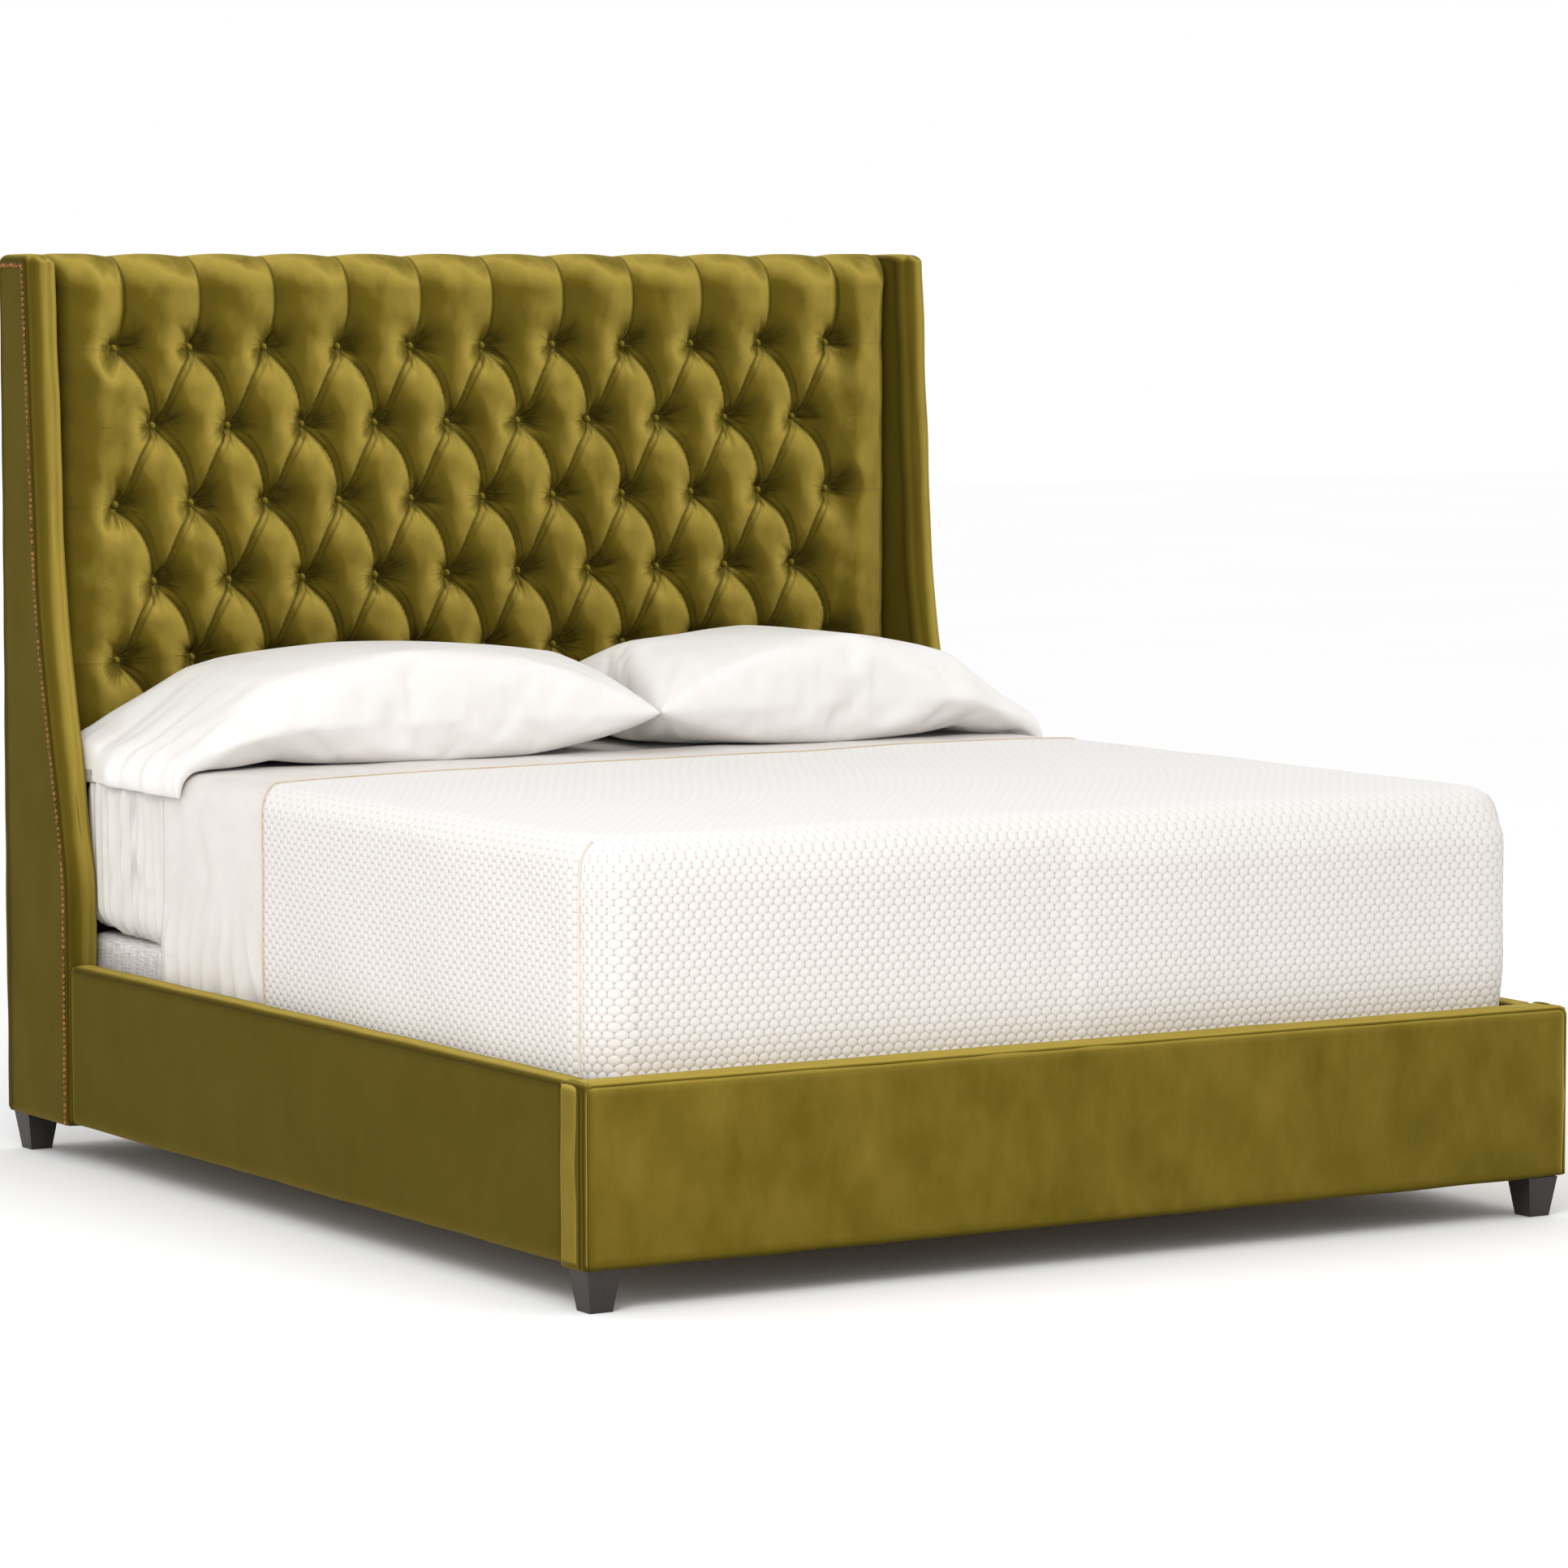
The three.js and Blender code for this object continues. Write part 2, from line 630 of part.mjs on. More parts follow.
// ---- mattress and bedding ------------------------------------------------------------------
// the mattress grown by an offset, and reaching down to bottomZ
function mattressForm(offset, bottomZ = mattressBottomZ - offset) {
  return softSlab(mattressWidth / 2 + offset, mattressFootY - offset, mattressHeadY + offset,
    bottomZ, mattressTopZ + offset, mattressCornerRadius + offset, mattressEdgeRound + offset);
}

// a cloth over the mattress from the foot to headEdgeY, its sides hanging to the hem
function drapedCloth(innerOffset, thickness, headEdgeY) {
  const below = beddingHemZ - mattressHeight;
  const cloth = toManifold(mattressForm(innerOffset + thickness, below));
  const inside = toManifold(mattressForm(innerOffset, below - thickness));
  const reach = mattressWidth;
  const keep = toManifold(block(-reach, reach, mattressFootY - reach, headEdgeY,
    beddingHemZ, mattressTopZ + reach));
  return toGeometry(cloth.subtract(inside).intersect(keep));
}

function mattressAndBedding() {
  place('mattress', mattressForm(0), ticking);
  const halfOpen = mattressWidth / 2 - fittedSheetTuckIn;
  const opening = block(-halfOpen, halfOpen, mattressFootY + fittedSheetTuckIn,
    mattressHeadY - fittedSheetTuckIn, mattressBottomZ - mattressHeight,
    mattressBottomZ + mattressEdgeRound);
  place('fitted_sheet', cut(mattressForm(touch + sheetThickness), [mattressForm(touch), opening]),
    whiteCotton);
  place('flat_sheet', drapedCloth(sheetStep + touch, sheetThickness,
    mattressHeadY - flatSheetHeadGap), whiteCotton);
  place('coverlet', drapedCloth(2 * sheetStep + touch, coverletThickness,
    mattressHeadY - coverletHeadGap), whiteCotton);
}

// ---- pillows -------------------------------------------------------------------------------
// a plump pillow lying on its underside, with its case's open end reaching a hem length beyond it
function pillowForm(grow, hemLength) {
  const halfLength = pillowLength / 2 + grow;
  const halfDepth = pillowDepth / 2 + grow;
  const geometry = new THREE.SphereGeometry(1, pillowSegments, pillowSegments / 2 + 2);
  geometry.deleteAttribute('normal');
  geometry.deleteAttribute('uv');
  const form = mergeVertices(geometry, 1e-5);
  const position = form.attributes.position;
  const squarer = (value) => Math.sign(value) * Math.abs(value) ** 0.62;
  const up = pillowHeight * pillowCrownShare + grow;
  const down = pillowHeight * (1 - pillowCrownShare) + grow;
  for (let i = 0; i < position.count; i += 1) {
    const x = squarer(position.getX(i));
    const y = squarer(position.getZ(i));
    const z = -position.getY(i);
    position.setXYZ(i, x * halfLength, y * halfDepth, z * (z > 0 ? up : down));
  }
  if (hemLength === 0) return form;
  const halfHem = pillowHemThickness / 2 + grow - pillowCaseThickness;
  const flap = block(-halfLength - hemLength, -halfLength / 2, -halfDepth * 0.8,
    halfDepth * 0.8, -halfHem, halfHem);
  return join([form, flap]);
}

function pillowAt(geometry, side) {
  const centreX = pillowMeetX
    + side * (pillowBetween / 2 + pillowLength / 2 + pillowCaseThickness);
  const centreY = tuftedFaceY - pillowHeadGap - pillowDepth / 2;
  const seamZ = beddingTopZ + pillowHeight * (1 - pillowCrownShare) + pillowCaseThickness + touch;
  const turned = side > 0 ? mirrored(geometry) : geometry;
  return turned.translate(centreX, centreY, seamZ);
}

function pillows() {
  for (const [name, side, hemLength] of [['left', -1, pillowHemLeft], ['right', 1, pillowHemRight]]) {
    place(`pillow_${name}`, pillowAt(pillowForm(-touch, 0), side), ticking);
    const halfMouth = pillowHemThickness / 2 - pillowCaseThickness;
    const mouth = block(-pillowLength / 2 - 2 * hemLength, -pillowLength * 0.4,
      -pillowDepth * 0.39, pillowDepth * 0.39, -halfMouth, halfMouth);
    const pillowcase = cut(pillowForm(pillowCaseThickness, hemLength),
      [pillowForm(0, 0), mouth]);
    place(`pillowcase_${name}`, pillowAt(pillowcase, side), whiteCotton);
  }
}

// ---- the bed -------------------------------------------------------------------------------
wings();
nailTrim();
headboardFrame();
tuftedPad();
tuftButtons();
lowerPanel();
sideRails();
hookPlates();
footboard();
footboardWelts();
slattedBase();
centreSupport();
feet();
boxSpring();
mattressAndBedding();
pillows();

export default object;
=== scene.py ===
"""Looks of the upholstered bed: velvet headboard and rails, bedding, wood, metal, light and camera.

Metres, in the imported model's frame: +X to the viewer's right, +Y to the headboard, +Z up.
"""
import json
import math

import bpy
import numpy as np
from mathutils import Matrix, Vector

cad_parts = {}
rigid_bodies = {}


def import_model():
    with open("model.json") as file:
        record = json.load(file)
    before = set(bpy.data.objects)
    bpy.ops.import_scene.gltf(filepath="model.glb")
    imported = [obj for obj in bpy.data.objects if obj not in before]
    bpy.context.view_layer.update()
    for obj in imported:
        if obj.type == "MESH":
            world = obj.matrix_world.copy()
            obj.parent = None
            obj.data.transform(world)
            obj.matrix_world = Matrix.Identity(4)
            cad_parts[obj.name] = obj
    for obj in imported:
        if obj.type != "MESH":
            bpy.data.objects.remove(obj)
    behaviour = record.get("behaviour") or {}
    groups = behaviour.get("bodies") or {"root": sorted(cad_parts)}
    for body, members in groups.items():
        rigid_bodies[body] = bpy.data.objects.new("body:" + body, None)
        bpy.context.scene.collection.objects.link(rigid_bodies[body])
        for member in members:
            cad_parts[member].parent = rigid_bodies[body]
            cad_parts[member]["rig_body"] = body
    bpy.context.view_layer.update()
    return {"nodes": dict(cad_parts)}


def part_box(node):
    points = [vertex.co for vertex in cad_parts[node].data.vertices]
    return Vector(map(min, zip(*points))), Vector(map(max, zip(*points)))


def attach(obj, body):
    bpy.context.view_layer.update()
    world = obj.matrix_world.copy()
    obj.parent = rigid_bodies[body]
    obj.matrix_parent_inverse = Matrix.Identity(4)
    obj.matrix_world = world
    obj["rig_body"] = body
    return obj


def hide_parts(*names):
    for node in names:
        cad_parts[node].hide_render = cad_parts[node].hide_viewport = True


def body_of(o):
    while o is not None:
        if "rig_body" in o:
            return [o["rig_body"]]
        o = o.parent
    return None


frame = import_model()
SIDES = {"left": -1.0, "right": 1.0}

# ---- tufting
BUTTON_PITCH_X = 0.165
BUTTON_PITCH_Z = 0.154
BUTTON_TOP_Z = 1.578
BUTTON_ROWS = 6
BUTTONS_IN_WIDE_ROW = 11
BUTTON_RADIUS = 0.0092
BUTTON_RIM = 0.0065              # a button's rim lies this far behind its CAD front
BUTTON_CROWN = 0.0052            # height of its dome
BUTTON_RINGS, BUTTON_SIDES = 5, 18
LAST_COLUMN = BUTTONS_IN_WIDE_ROW - 1     # half pitches from the middle to the outermost button
PAD_STEP = 0.0052                # spacing of the cover's surface grid
CREST_PROUD = 0.010              # crests stand this far in front of the pad's CAD face
CREST_HEIGHT = 0.050             # from the buttons' seats to the crests
PLEAT_HEIGHT = 0.034             # from the buttons' seats to the middle of a pleat
PLEAT_SAG = 0.065                # how far pleats sag sideways, as a share of their spacing
BUTTON_PIT = 0.006               # the velvet starts to rise this far from a button's centre
FUNNEL_WIDTH = 0.021             # over which it rises to a pleat
PUFF_WIDTH = 0.075               # over which it rises to a puff
FOLDS_PER_BUTTON = 8
FOLD_REACH = 0.10                # no small fold runs further from its button
FOLD_LENGTHS, FOLD_DEPTHS = (0.030, 0.080), (0.004, 0.010)
FOLD_HALF_WIDTH = 0.0048
TOP_SCALLOP = 0.006
PAD_TOP_RADIUS = 0.072
PAD_TOP_RISE = 0.006
PAD_SIDE_ROLL = 0.034
PAD_SIDE_SLOPE = (0.095, 0.024)  # width and depth of the gentler fall before the side rolls
TOP_PLEAT_SPAN = 0.85            # of a button row's height: 1 over how far an upright pleat bows
TOP_PLEAT_BOW = 0.13             # bow of the upright pleats, in half button pitches
PLEAT_BUMP = 0.012
# painted shade: how far the creases' colour is pulled towards the dark olive
CREASE_PAINTED_SHADE = 0.75
PAD_REAR_RADIUS = 0.014
PAD_REAR_HANG = 0.020            # the cover is stapled this far down the back

# ---- wings, nails and welts
WING_OUTER_ROUND = 0.008
WING_INNER_ROUND = 0.024
WING_FRONT_CROWN = 0.006
WING_DOME = 0.017
WING_BACK_ROUND = 0.004
WING_RIPPLE = 0.0010
WING_BACK_PROUD = 0.002          # the velvet lies over the wing's wooden back edge
NAIL_RADIUS = 0.0054
NAIL_PITCH = 0.0115
NAIL_INSET = 0.0140
NAIL_SINK = 0.0006               # a nail's rim lies this far inside the wing's face
NAIL_CROWN = 0.0034              # height of its dome
NAIL_RINGS, NAIL_SIDES = 4, 12
WELT_RADIUS = 0.0052
WELT_TURN = 0.016                # radius of the cords' bends at the footboard's top corners
WELT_INSETS = {"front": 0.0048, "back": 0.0190}    # of the two cords, behind the front face
END_BAND_SINK = 0.0012           # its edges lie below the footboard's face
END_BAND_CROWN = 0.0050
END_BAND_TURN = 0.012
END_BAND_THICKNESS = 0.003

# ---- bedding
QUILT_PEBBLE = (0.0210, 0.0140)   # width and height of one quilted pebble
SHEET_STEP = 0.012
LINEN_STEP = 0.02
LINEN_THICKNESS = 0.003
BOX_SPRING_EDGE = 0.012
HEM_RADIUS = 0.0032
SEAM_SETBACK = {"left": 0.034, "right": 0.020}   # of the coverlet's corner seams, from its foot
MATTRESS_CORNER = 0.070
MATTRESS_EDGE = 0.036
MATTRESS_FACE_INSETS = (0.9, 0.5, 0.15, 0.06)   # of the rings on its flat faces
HEAD_LIFT = 0.026                # how far the mattress's bottom edge rises at the head
HEAD_LIFT_FROM = 0.52
HEAD_LIFT_HEIGHT = 0.16
PILLOW_GRID = (92, 56)
PILLOW_FRAMES = 26
PILLOW_PRESSURE = 1.15
PILLOW_SEAM_SHARE = 0.40         # height of the side seams, as a share of the pillow's height
PILLOW_SETTLE = 0.009            # depth over which a pillow's underside flattens on the bed
PILLOW_SINK = 0.006              # how far a pillow sinks into the sheet
PILLOW_MOUTH_EXTRA = 0.086       # the flat mouth of a case is wider than the filled pillow
FLAP_LENGTH = {"left": 0.200, "right": 0.135}   # open end of the case, past the pillow
FLAP_END = {"left": 0.994, "right": 0.975}      # how far it would reach if it lay flat
FLAP_BEND_X = 0.930
FLAP_BEND_RADIUS = 0.034
PILLOW_RIPPLES = ((0.085, 0.0065, 0.25), (0.034, 0.0022, 0.15))   # wavelength, height, stretch
PILLOW_TIP_PROUD = {"left": 0.012, "right": 0.006}   # of the closed end, past its CAD pillow
SHEET_THICKNESS = 0.0012
COVERLET_THICKNESS = 0.006
FITTED_CLEAR, FLAT_CLEAR, COVERLET_CLEAR = 0.0022, 0.0048, 0.0108   # off the mattress
FITTED_TUCK = 0.03               # of the fitted sheet, under the mattress
FITTED_GATHER = (0.54, 0.16)     # where its gathers start along the bed, and their fade
FITTED_FOLDS = ((0.031, 0.0140), (0.053, 0.0070))   # spacing and height near the head
FLAT_TUCK_HEIGHT, FLAT_TUCK_SPACING = 0.0130, 0.085
COVERLET_BOW = 0.150             # how far the middle of its head edge bows towards the pillows
COVERLET_SLANT = 0.130           # how much nearer to the pillows its right end lies
FOOT_PANEL_PROUD = 0.007
SEAM_SWELL = {"left": 0.003, "right": 0.014}   # bulge of the side panel behind the corner seam

# ---- worn edges of the hard parts
BEAM_EDGE = 0.003
FOOT_EDGE = 0.0022
TIMBER_EDGE = 0.002
BOARD_EDGE = 0.001
PLATE_EDGE = 0.0006
BOLT_EDGE = 0.0004

# ---- light, floor and camera
PAINTED_LIGHT_WAY = (0.72, -0.14, 0.56)    # velvet is painted lighter up its ramp as it turns this way: painted light and shade
KEY_PLACE, KEY_TARGET = (-3.8, -4.0, 3.6), (0.0, 0.3, 0.7)
KEY_WIDTH, KEY_POWER = 2.2, 130
FLOOR_REACH = 30.0
CAMERA_AZIMUTH, CAMERA_PITCH = -31.506, 4.910   # degrees
CAMERA_TARGET = (-0.0347, -0.152, 0.7719)
CAMERA_DISTANCE = 11.474
CAMERA_LENS, CAMERA_SENSOR = 140.4, 36.0        # mm


# ---- small tools -----------------------------------------------------------------------------
def size(node):
    """Lowest and highest corner of a CAD node, as arrays."""
    low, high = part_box(node)
    return np.array(low), np.array(high)


def smoothstep(value):
    t = np.clip(value, 0.0, 1.0)
    return t * t * (3 - 2 * t)


def wave_noise(points, wavelength, seed, octaves=4):
    """Smooth noise of about -1 to 1, made of waves in directions drawn from a seeded generator."""
    rng = np.random.default_rng(seed)
    total = np.zeros(len(points))
    for _ in range(octaves * 3):
        direction = rng.normal(size=3)
        direction /= np.linalg.norm(direction)
        frequency = 2 * math.pi / (wavelength * rng.uniform(0.6, 1.6))
        total += np.sin(points @ direction * frequency + rng.uniform(0, 2 * math.pi))
    return total / math.sqrt(octaves * 3)


def mesh_object(name, points, faces, material, body, replaced=(), uv=None):
    """A smooth-shaded mesh that rides on a body and stands for some CAD nodes."""
    mesh = bpy.data.meshes.new(name)
    mesh.from_pydata([tuple(p) for p in points], [], [tuple(f) for f in faces])
    mesh.polygons.foreach_set("use_smooth", [True] * len(mesh.polygons))
    if uv is not None:
        layer = mesh.uv_layers.new(name="cloth")
        corners = np.zeros(len(mesh.loops), np.int32)
        mesh.loops.foreach_get("vertex_index", corners)
        layer.data.foreach_set("uv", np.asarray(uv, np.float32)[corners].ravel())
    mesh.materials.append(material)
    mesh.update()
    obj = bpy.data.objects.new(name, mesh)
    bpy.context.scene.collection.objects.link(obj)
    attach(obj, body)
    if replaced:
        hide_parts(*replaced)
    return obj


def grid_faces(rows, columns, wrap_columns=False):
    """Quads of a rows by columns grid of points, in row-major order."""
    r = np.arange(rows - 1)
    c = np.arange(columns if wrap_columns else columns - 1)
    rr, cc = np.meshgrid(r, c, indexing="ij")
    r2, c2 = rr + 1, (cc + 1) % columns
    quads = np.stack([rr * columns + cc, rr * columns + c2, r2 * columns + c2,
                      r2 * columns + cc], axis=-1)
    return quads.reshape(-1, 4).tolist()


def loft(rings):
    """Points and faces of a skin through rings of as many points each, closed at both ends."""
    count = len(rings[0])
    faces = grid_faces(len(rings), count, wrap_columns=True)
    faces.append(list(range(count))[::-1])
    start = (len(rings) - 1) * count
    faces.append(list(range(start, start + count)))
    return np.concatenate(rings), faces


def dome_faces(start, rings, sides):
    """Faces of a flat-backed dome: its rings of points begin at start, and its crown is last."""
    faces = []
    last, crown = start + (rings - 1) * sides, start + rings * sides
    for a in range(start, last, sides):
        b = a + sides
        faces.extend((a + k, a + (k + 1) % sides, b + (k + 1) % sides, b + k)
                     for k in range(sides))
    faces.extend((last + k, last + (k + 1) % sides, crown) for k in range(sides))
    faces.append([start + k for k in range(sides)][::-1])
    return faces


def soft_box(low, high, radius, step, bulge=0.0, seed=0, ripple=0.0006):
    """Points and faces of a padded box: round edges, faces that crown by bulge, slight ripples."""
    low, high = np.array(low), np.array(high)
    counts = np.maximum(2, np.round((high - low) / step).astype(int))
    points, index = [], {}

    def vertex(cell):
        if cell not in index:
            index[cell] = len(points)
            points.append([low[k] + (high[k] - low[k]) * cell[k] / counts[k] for k in range(3)])
        return index[cell]

    faces = []
    for axis in range(3):
        u, v = (axis + 1) % 3, (axis + 2) % 3
        for side in (0, counts[axis]):
            for i in range(counts[u]):
                for j in range(counts[v]):
                    corners = []
                    for di, dj in ((0, 0), (1, 0), (1, 1), (0, 1)):
                        cell = [0, 0, 0]
                        cell[axis], cell[u], cell[v] = int(side), i + di, j + dj
                        corners.append(vertex(tuple(cell)))
                    faces.append(corners if side else corners[::-1])
    cloud = np.array(points)
    edge = np.minimum(cloud - low, high - cloud)
    # a point nearer to a face than the radius is drawn in to the rounding
    inner = np.clip(cloud, low + radius, high - radius)
    offset = cloud - inner
    length = np.linalg.norm(offset, axis=1, keepdims=True)
    normal = offset / np.maximum(length, 1e-9)
    rounded = inner + normal * radius
    span = (high - low) / 2
    share = np.prod(np.clip(np.where(edge < 1e-6, 1.0, edge / span), 0, 1) ** 0.35, axis=1)
    swell = bulge * share + ripple * wave_noise(cloud, 0.22, seed)
    return rounded + normal * swell[:, None], faces


# ---- materials -------------------------------------------------------------------------------
class Shader:
    """A new node material, with short ways to add nodes and join them."""

    def __init__(self, name):
        self.material = bpy.data.materials.new(name)
        self.material.use_nodes = True
        self.tree = self.material.node_tree
        self.surface = self.tree.nodes["Principled BSDF"]
        self.place = self.tree.nodes.new("ShaderNodeTexCoord").outputs["Object"]

    def add(self, kind, inputs=None, **settings):
        node = self.tree.nodes.new(kind)
        for key, value in settings.items():
            setattr(node, key, value)
        for key, value in (inputs or {}).items():
            self.put(node.inputs[key], value)
        return node

    def put(self, socket, value):
        if isinstance(value, bpy.types.NodeSocket):
            self.tree.links.new(value, socket)
        else:
            socket.default_value = value

    def set(self, **inputs):
        for key, value in inputs.items():
            self.put(self.surface.inputs[key.replace("_", " ")], value)

    def stretched(self, scale):
        """The object's own coordinates, scaled by axis."""
        return self.add("ShaderNodeMapping", {"Vector": self.place, "Scale": scale}).outputs[0]

    def noise(self, scale, detail=3.0, rough=0.55, where=None, distortion=0.0):
        node = self.add("ShaderNodeTexNoise", {
            "Vector": where or self.place, "Scale": scale, "Detail": detail,
            "Roughness": rough, "Distortion": distortion})
        return node.outputs["Fac"]

    def math(self, operation, a, b=0.0):
        return self.add("ShaderNodeMath", {0: a, 1: b}, operation=operation).outputs[0]

    def plus(self, a, b):
        return self.math("ADD", a, b)

    def minus(self, a, b):
        return self.math("SUBTRACT", a, b)

    def times(self, a, b):
        return self.math("MULTIPLY", a, b)

    def over(self, a, b):
        return self.math("DIVIDE", a, b)

    def ramp(self, factor, stops):
        node = self.add("ShaderNodeValToRGB", {"Fac": factor})
        elements = node.color_ramp.elements
        while len(elements) < len(stops):
            elements.new(0.5)
        for element, (position, colour) in zip(elements, stops):
            element.position = position
            element.color = (*colour, 1.0)
        return node.outputs["Color"]

    def mix(self, factor, a, b, blend="MIX"):
        node = self.add("ShaderNodeMix", data_type="RGBA", blend_type=blend)
        self.put(node.inputs["Factor"], factor)
        self.put(node.inputs[6], a)
        self.put(node.inputs[7], b)
        return node.outputs[2]

    def bump(self, height, strength, distance, under=None):
        inputs = {"Height": height, "Strength": strength, "Distance": distance}
        if under is not None:
            inputs["Normal"] = under
        return self.add("ShaderNodeBump", inputs).outputs["Normal"]


def velvet_material(name, side, dark, middle, light, turned, raised=0.0, mottle=0.08,
                    pleats=False):
    """Cotton velvet with random mottling, painted darker or lighter by the way its surface leans:
    painted light and shade.
    """
    s = Shader(name)
    normal = s.add("ShaderNodeNewGeometry").outputs["Normal"]
    painted_light_facing = s.add("ShaderNodeVectorMath", {0: normal, 1: PAINTED_LIGHT_WAY},
                 operation="DOT_PRODUCT").outputs["Value"]
    drift = s.minus(s.noise(5.0, 4.0, 0.55, distortion=0.4), 0.5)
    brushed = s.minus(s.noise(24.0, 5.0, 0.6, where=s.stretched((1.0, 1.0, 0.5))), 0.5)
    # painted light and shade: the colour climbs its ramp as the surface turns towards the painted
    # light's way, plus random mottling; raised moves the whole ramp lighter
    light_shade_and_mottle = s.plus(s.times(painted_light_facing, 0.55), s.times(drift, mottle))
    light_shade_and_mottle = s.plus(light_shade_and_mottle, s.times(brushed, mottle * 0.9))
    colour = s.ramp(s.plus(light_shade_and_mottle, 0.585 + raised),
                    [(0.12, side), (0.36, dark), (0.64, middle), (0.88, light), (0.99, turned)])
    pile = s.noise(700.0, 2.0, 0.7)
    s.set(Roughness=s.plus(s.times(drift, 0.2), 0.80))
    s.set(Sheen_Weight=0.35, Sheen_Roughness=0.34, Sheen_Tint=(0.66, 0.53, 0.10, 1.0))
    s.set(Specular_IOR_Level=0.06)
    finish = s.bump(pile, 0.30, 0.0006, s.bump(brushed, 0.25, 0.0015))
    if pleats:
        relief, creases = pleat_relief(s)
        finish = s.bump(relief, 1.0, PLEAT_BUMP, finish)
        # painted shade: the pleats' creases are painted darker
        colour = s.mix(s.times(creases, CREASE_PAINTED_SHADE), colour, (*dark, 1.0))
    s.set(Base_Color=s.mix(s.times(pile, 0.22), colour, (*dark, 1.0)))
    s.set(Normal=finish)
    return s.material


class Lattice:
    """The tufting's lattice as shader values; u and v are whole numbers at every button."""

    def __init__(self, s):
        split = s.add("ShaderNodeSeparateXYZ", {"Vector": s.place})
        self.a = s.over(split.outputs["X"], BUTTON_PITCH_X / 2)
        self.b = s.over(s.minus(split.outputs["Z"], BUTTON_TOP_Z),
                        BUTTON_PITCH_Z)
        self.u = s.times(s.plus(self.a, self.b), 0.5)
        self.v = s.times(s.minus(self.a, self.b), 0.5)
        self.cell_u, self.cell_v = s.math("ROUND", self.u), s.math("ROUND", self.v)
        self.du = s.minus(self.u, self.cell_u)
        self.dv = s.minus(self.v, self.cell_v)
        self.across = s.math("ABSOLUTE", self.a)


def line_of(s, distance, half_width):
    """1 on a line, falling to 0 at half_width from it."""
    share = s.minus(1.0, s.over(s.math("ABSOLUTE", distance), half_width))
    return s.math("POWER", s.math("MAXIMUM", share, 0.0), 1.5)


def button_puckers(s, lattice):
    """Small folds that run out from each button."""
    dx = s.times(s.plus(lattice.du, lattice.dv), BUTTON_PITCH_X / 2)
    dz = s.times(s.minus(lattice.du, lattice.dv), BUTTON_PITCH_Z)
    away = s.math("SQRT", s.plus(s.times(dx, dx), s.times(dz, dz)))
    safe = s.math("MAXIMUM", away, 0.002)
    which = s.plus(s.times(lattice.cell_u, 5.3),
                   s.times(lattice.cell_v, 9.7))
    spoke = s.add("ShaderNodeCombineXYZ", {
        "X": s.times(s.over(dx, safe), 3.4),
        "Y": s.times(s.over(dz, safe), 3.4),
        "Z": s.plus(which, s.times(away, 8.0))}).outputs[0]
    folds = s.noise(1.0, 2.0, 0.5, where=spoke)
    reach = s.minus(1.0, s.over(away, 0.072))
    reach = s.math("POWER", s.math("MAXIMUM", reach, 0.0), 1.1)
    inside = s.times(s.math("LESS_THAN", lattice.across, LAST_COLUMN + 0.6),
                     s.math("LESS_THAN", lattice.b, 0.36))
    return s.times(s.times(folds, reach), inside)


def pleat_creases(s, lattice):
    """The stitched lines between buttons, each with a smaller fold beside it."""
    spacing = BUTTON_PITCH_X * BUTTON_PITCH_Z / math.hypot(BUTTON_PITCH_X / 2, BUTTON_PITCH_Z)
    bow_u = s.math("POWER", s.math("SINE", s.times(lattice.v, math.pi)), 2.0)
    bow_v = s.math("POWER", s.math("SINE", s.times(lattice.u, math.pi)), 2.0)
    off_u = s.minus(lattice.du, s.times(bow_u, PLEAT_SAG))
    off_v = s.plus(lattice.dv, s.times(bow_v, PLEAT_SAG))
    main = s.math("MAXIMUM", line_of(s, off_u, 0.006 / spacing), line_of(s, off_v, 0.006 / spacing))
    beside = s.math("MAXIMUM",
                    line_of(s, s.minus(off_u, 0.013 / spacing), 0.005 / spacing),
                    line_of(s, s.minus(off_v, 0.011 / spacing), 0.005 / spacing))
    broken = s.times(beside, s.noise(11.0, 1.0))
    inside = s.times(s.math("LESS_THAN", lattice.across, float(LAST_COLUMN)),
                     s.math("LESS_THAN", lattice.b, 0.0))
    climb = s.math("MINIMUM", s.times(lattice.b, TOP_PLEAT_SPAN), 1.0)
    bow = s.times(s.math("SINE", s.times(climb, math.pi)), TOP_PLEAT_BOW)
    half = s.times(s.minus(lattice.a, bow), 0.5)
    upright = line_of(s, s.minus(half, s.math("ROUND", half)), 0.006 / BUTTON_PITCH_X)
    above = s.times(s.math("LESS_THAN", lattice.across, LAST_COLUMN + 0.5),
                    s.math("GREATER_THAN", lattice.b, 0.0))
    folded = s.times(s.plus(main, broken), inside)
    return s.math("MINIMUM", s.plus(folded, s.times(upright, above)), 1.0)


def side_seams(s, lattice):
    """Thin level pleats from the outermost buttons of the wide rows to the wings."""
    half = s.times(lattice.b, 0.5)
    seam = line_of(s, s.minus(half, s.math("ROUND", half)), 0.004 / BUTTON_PITCH_Z)
    beyond = s.times(s.math("GREATER_THAN", lattice.across, float(LAST_COLUMN)),
                     s.math("LESS_THAN", lattice.b, 0.5))
    return s.times(seam, beyond)


def pleat_relief(s):
    """Height of the small folds and the pleats' creases, and the creases alone, in a shader."""
    lattice = Lattice(s)
    creases = pleat_creases(s, lattice)
    height = s.times(button_puckers(s, lattice), 2.4)
    height = s.minus(height, s.times(creases, 0.34))
    return s.plus(height, s.times(side_seams(s, lattice), 0.16)), creases


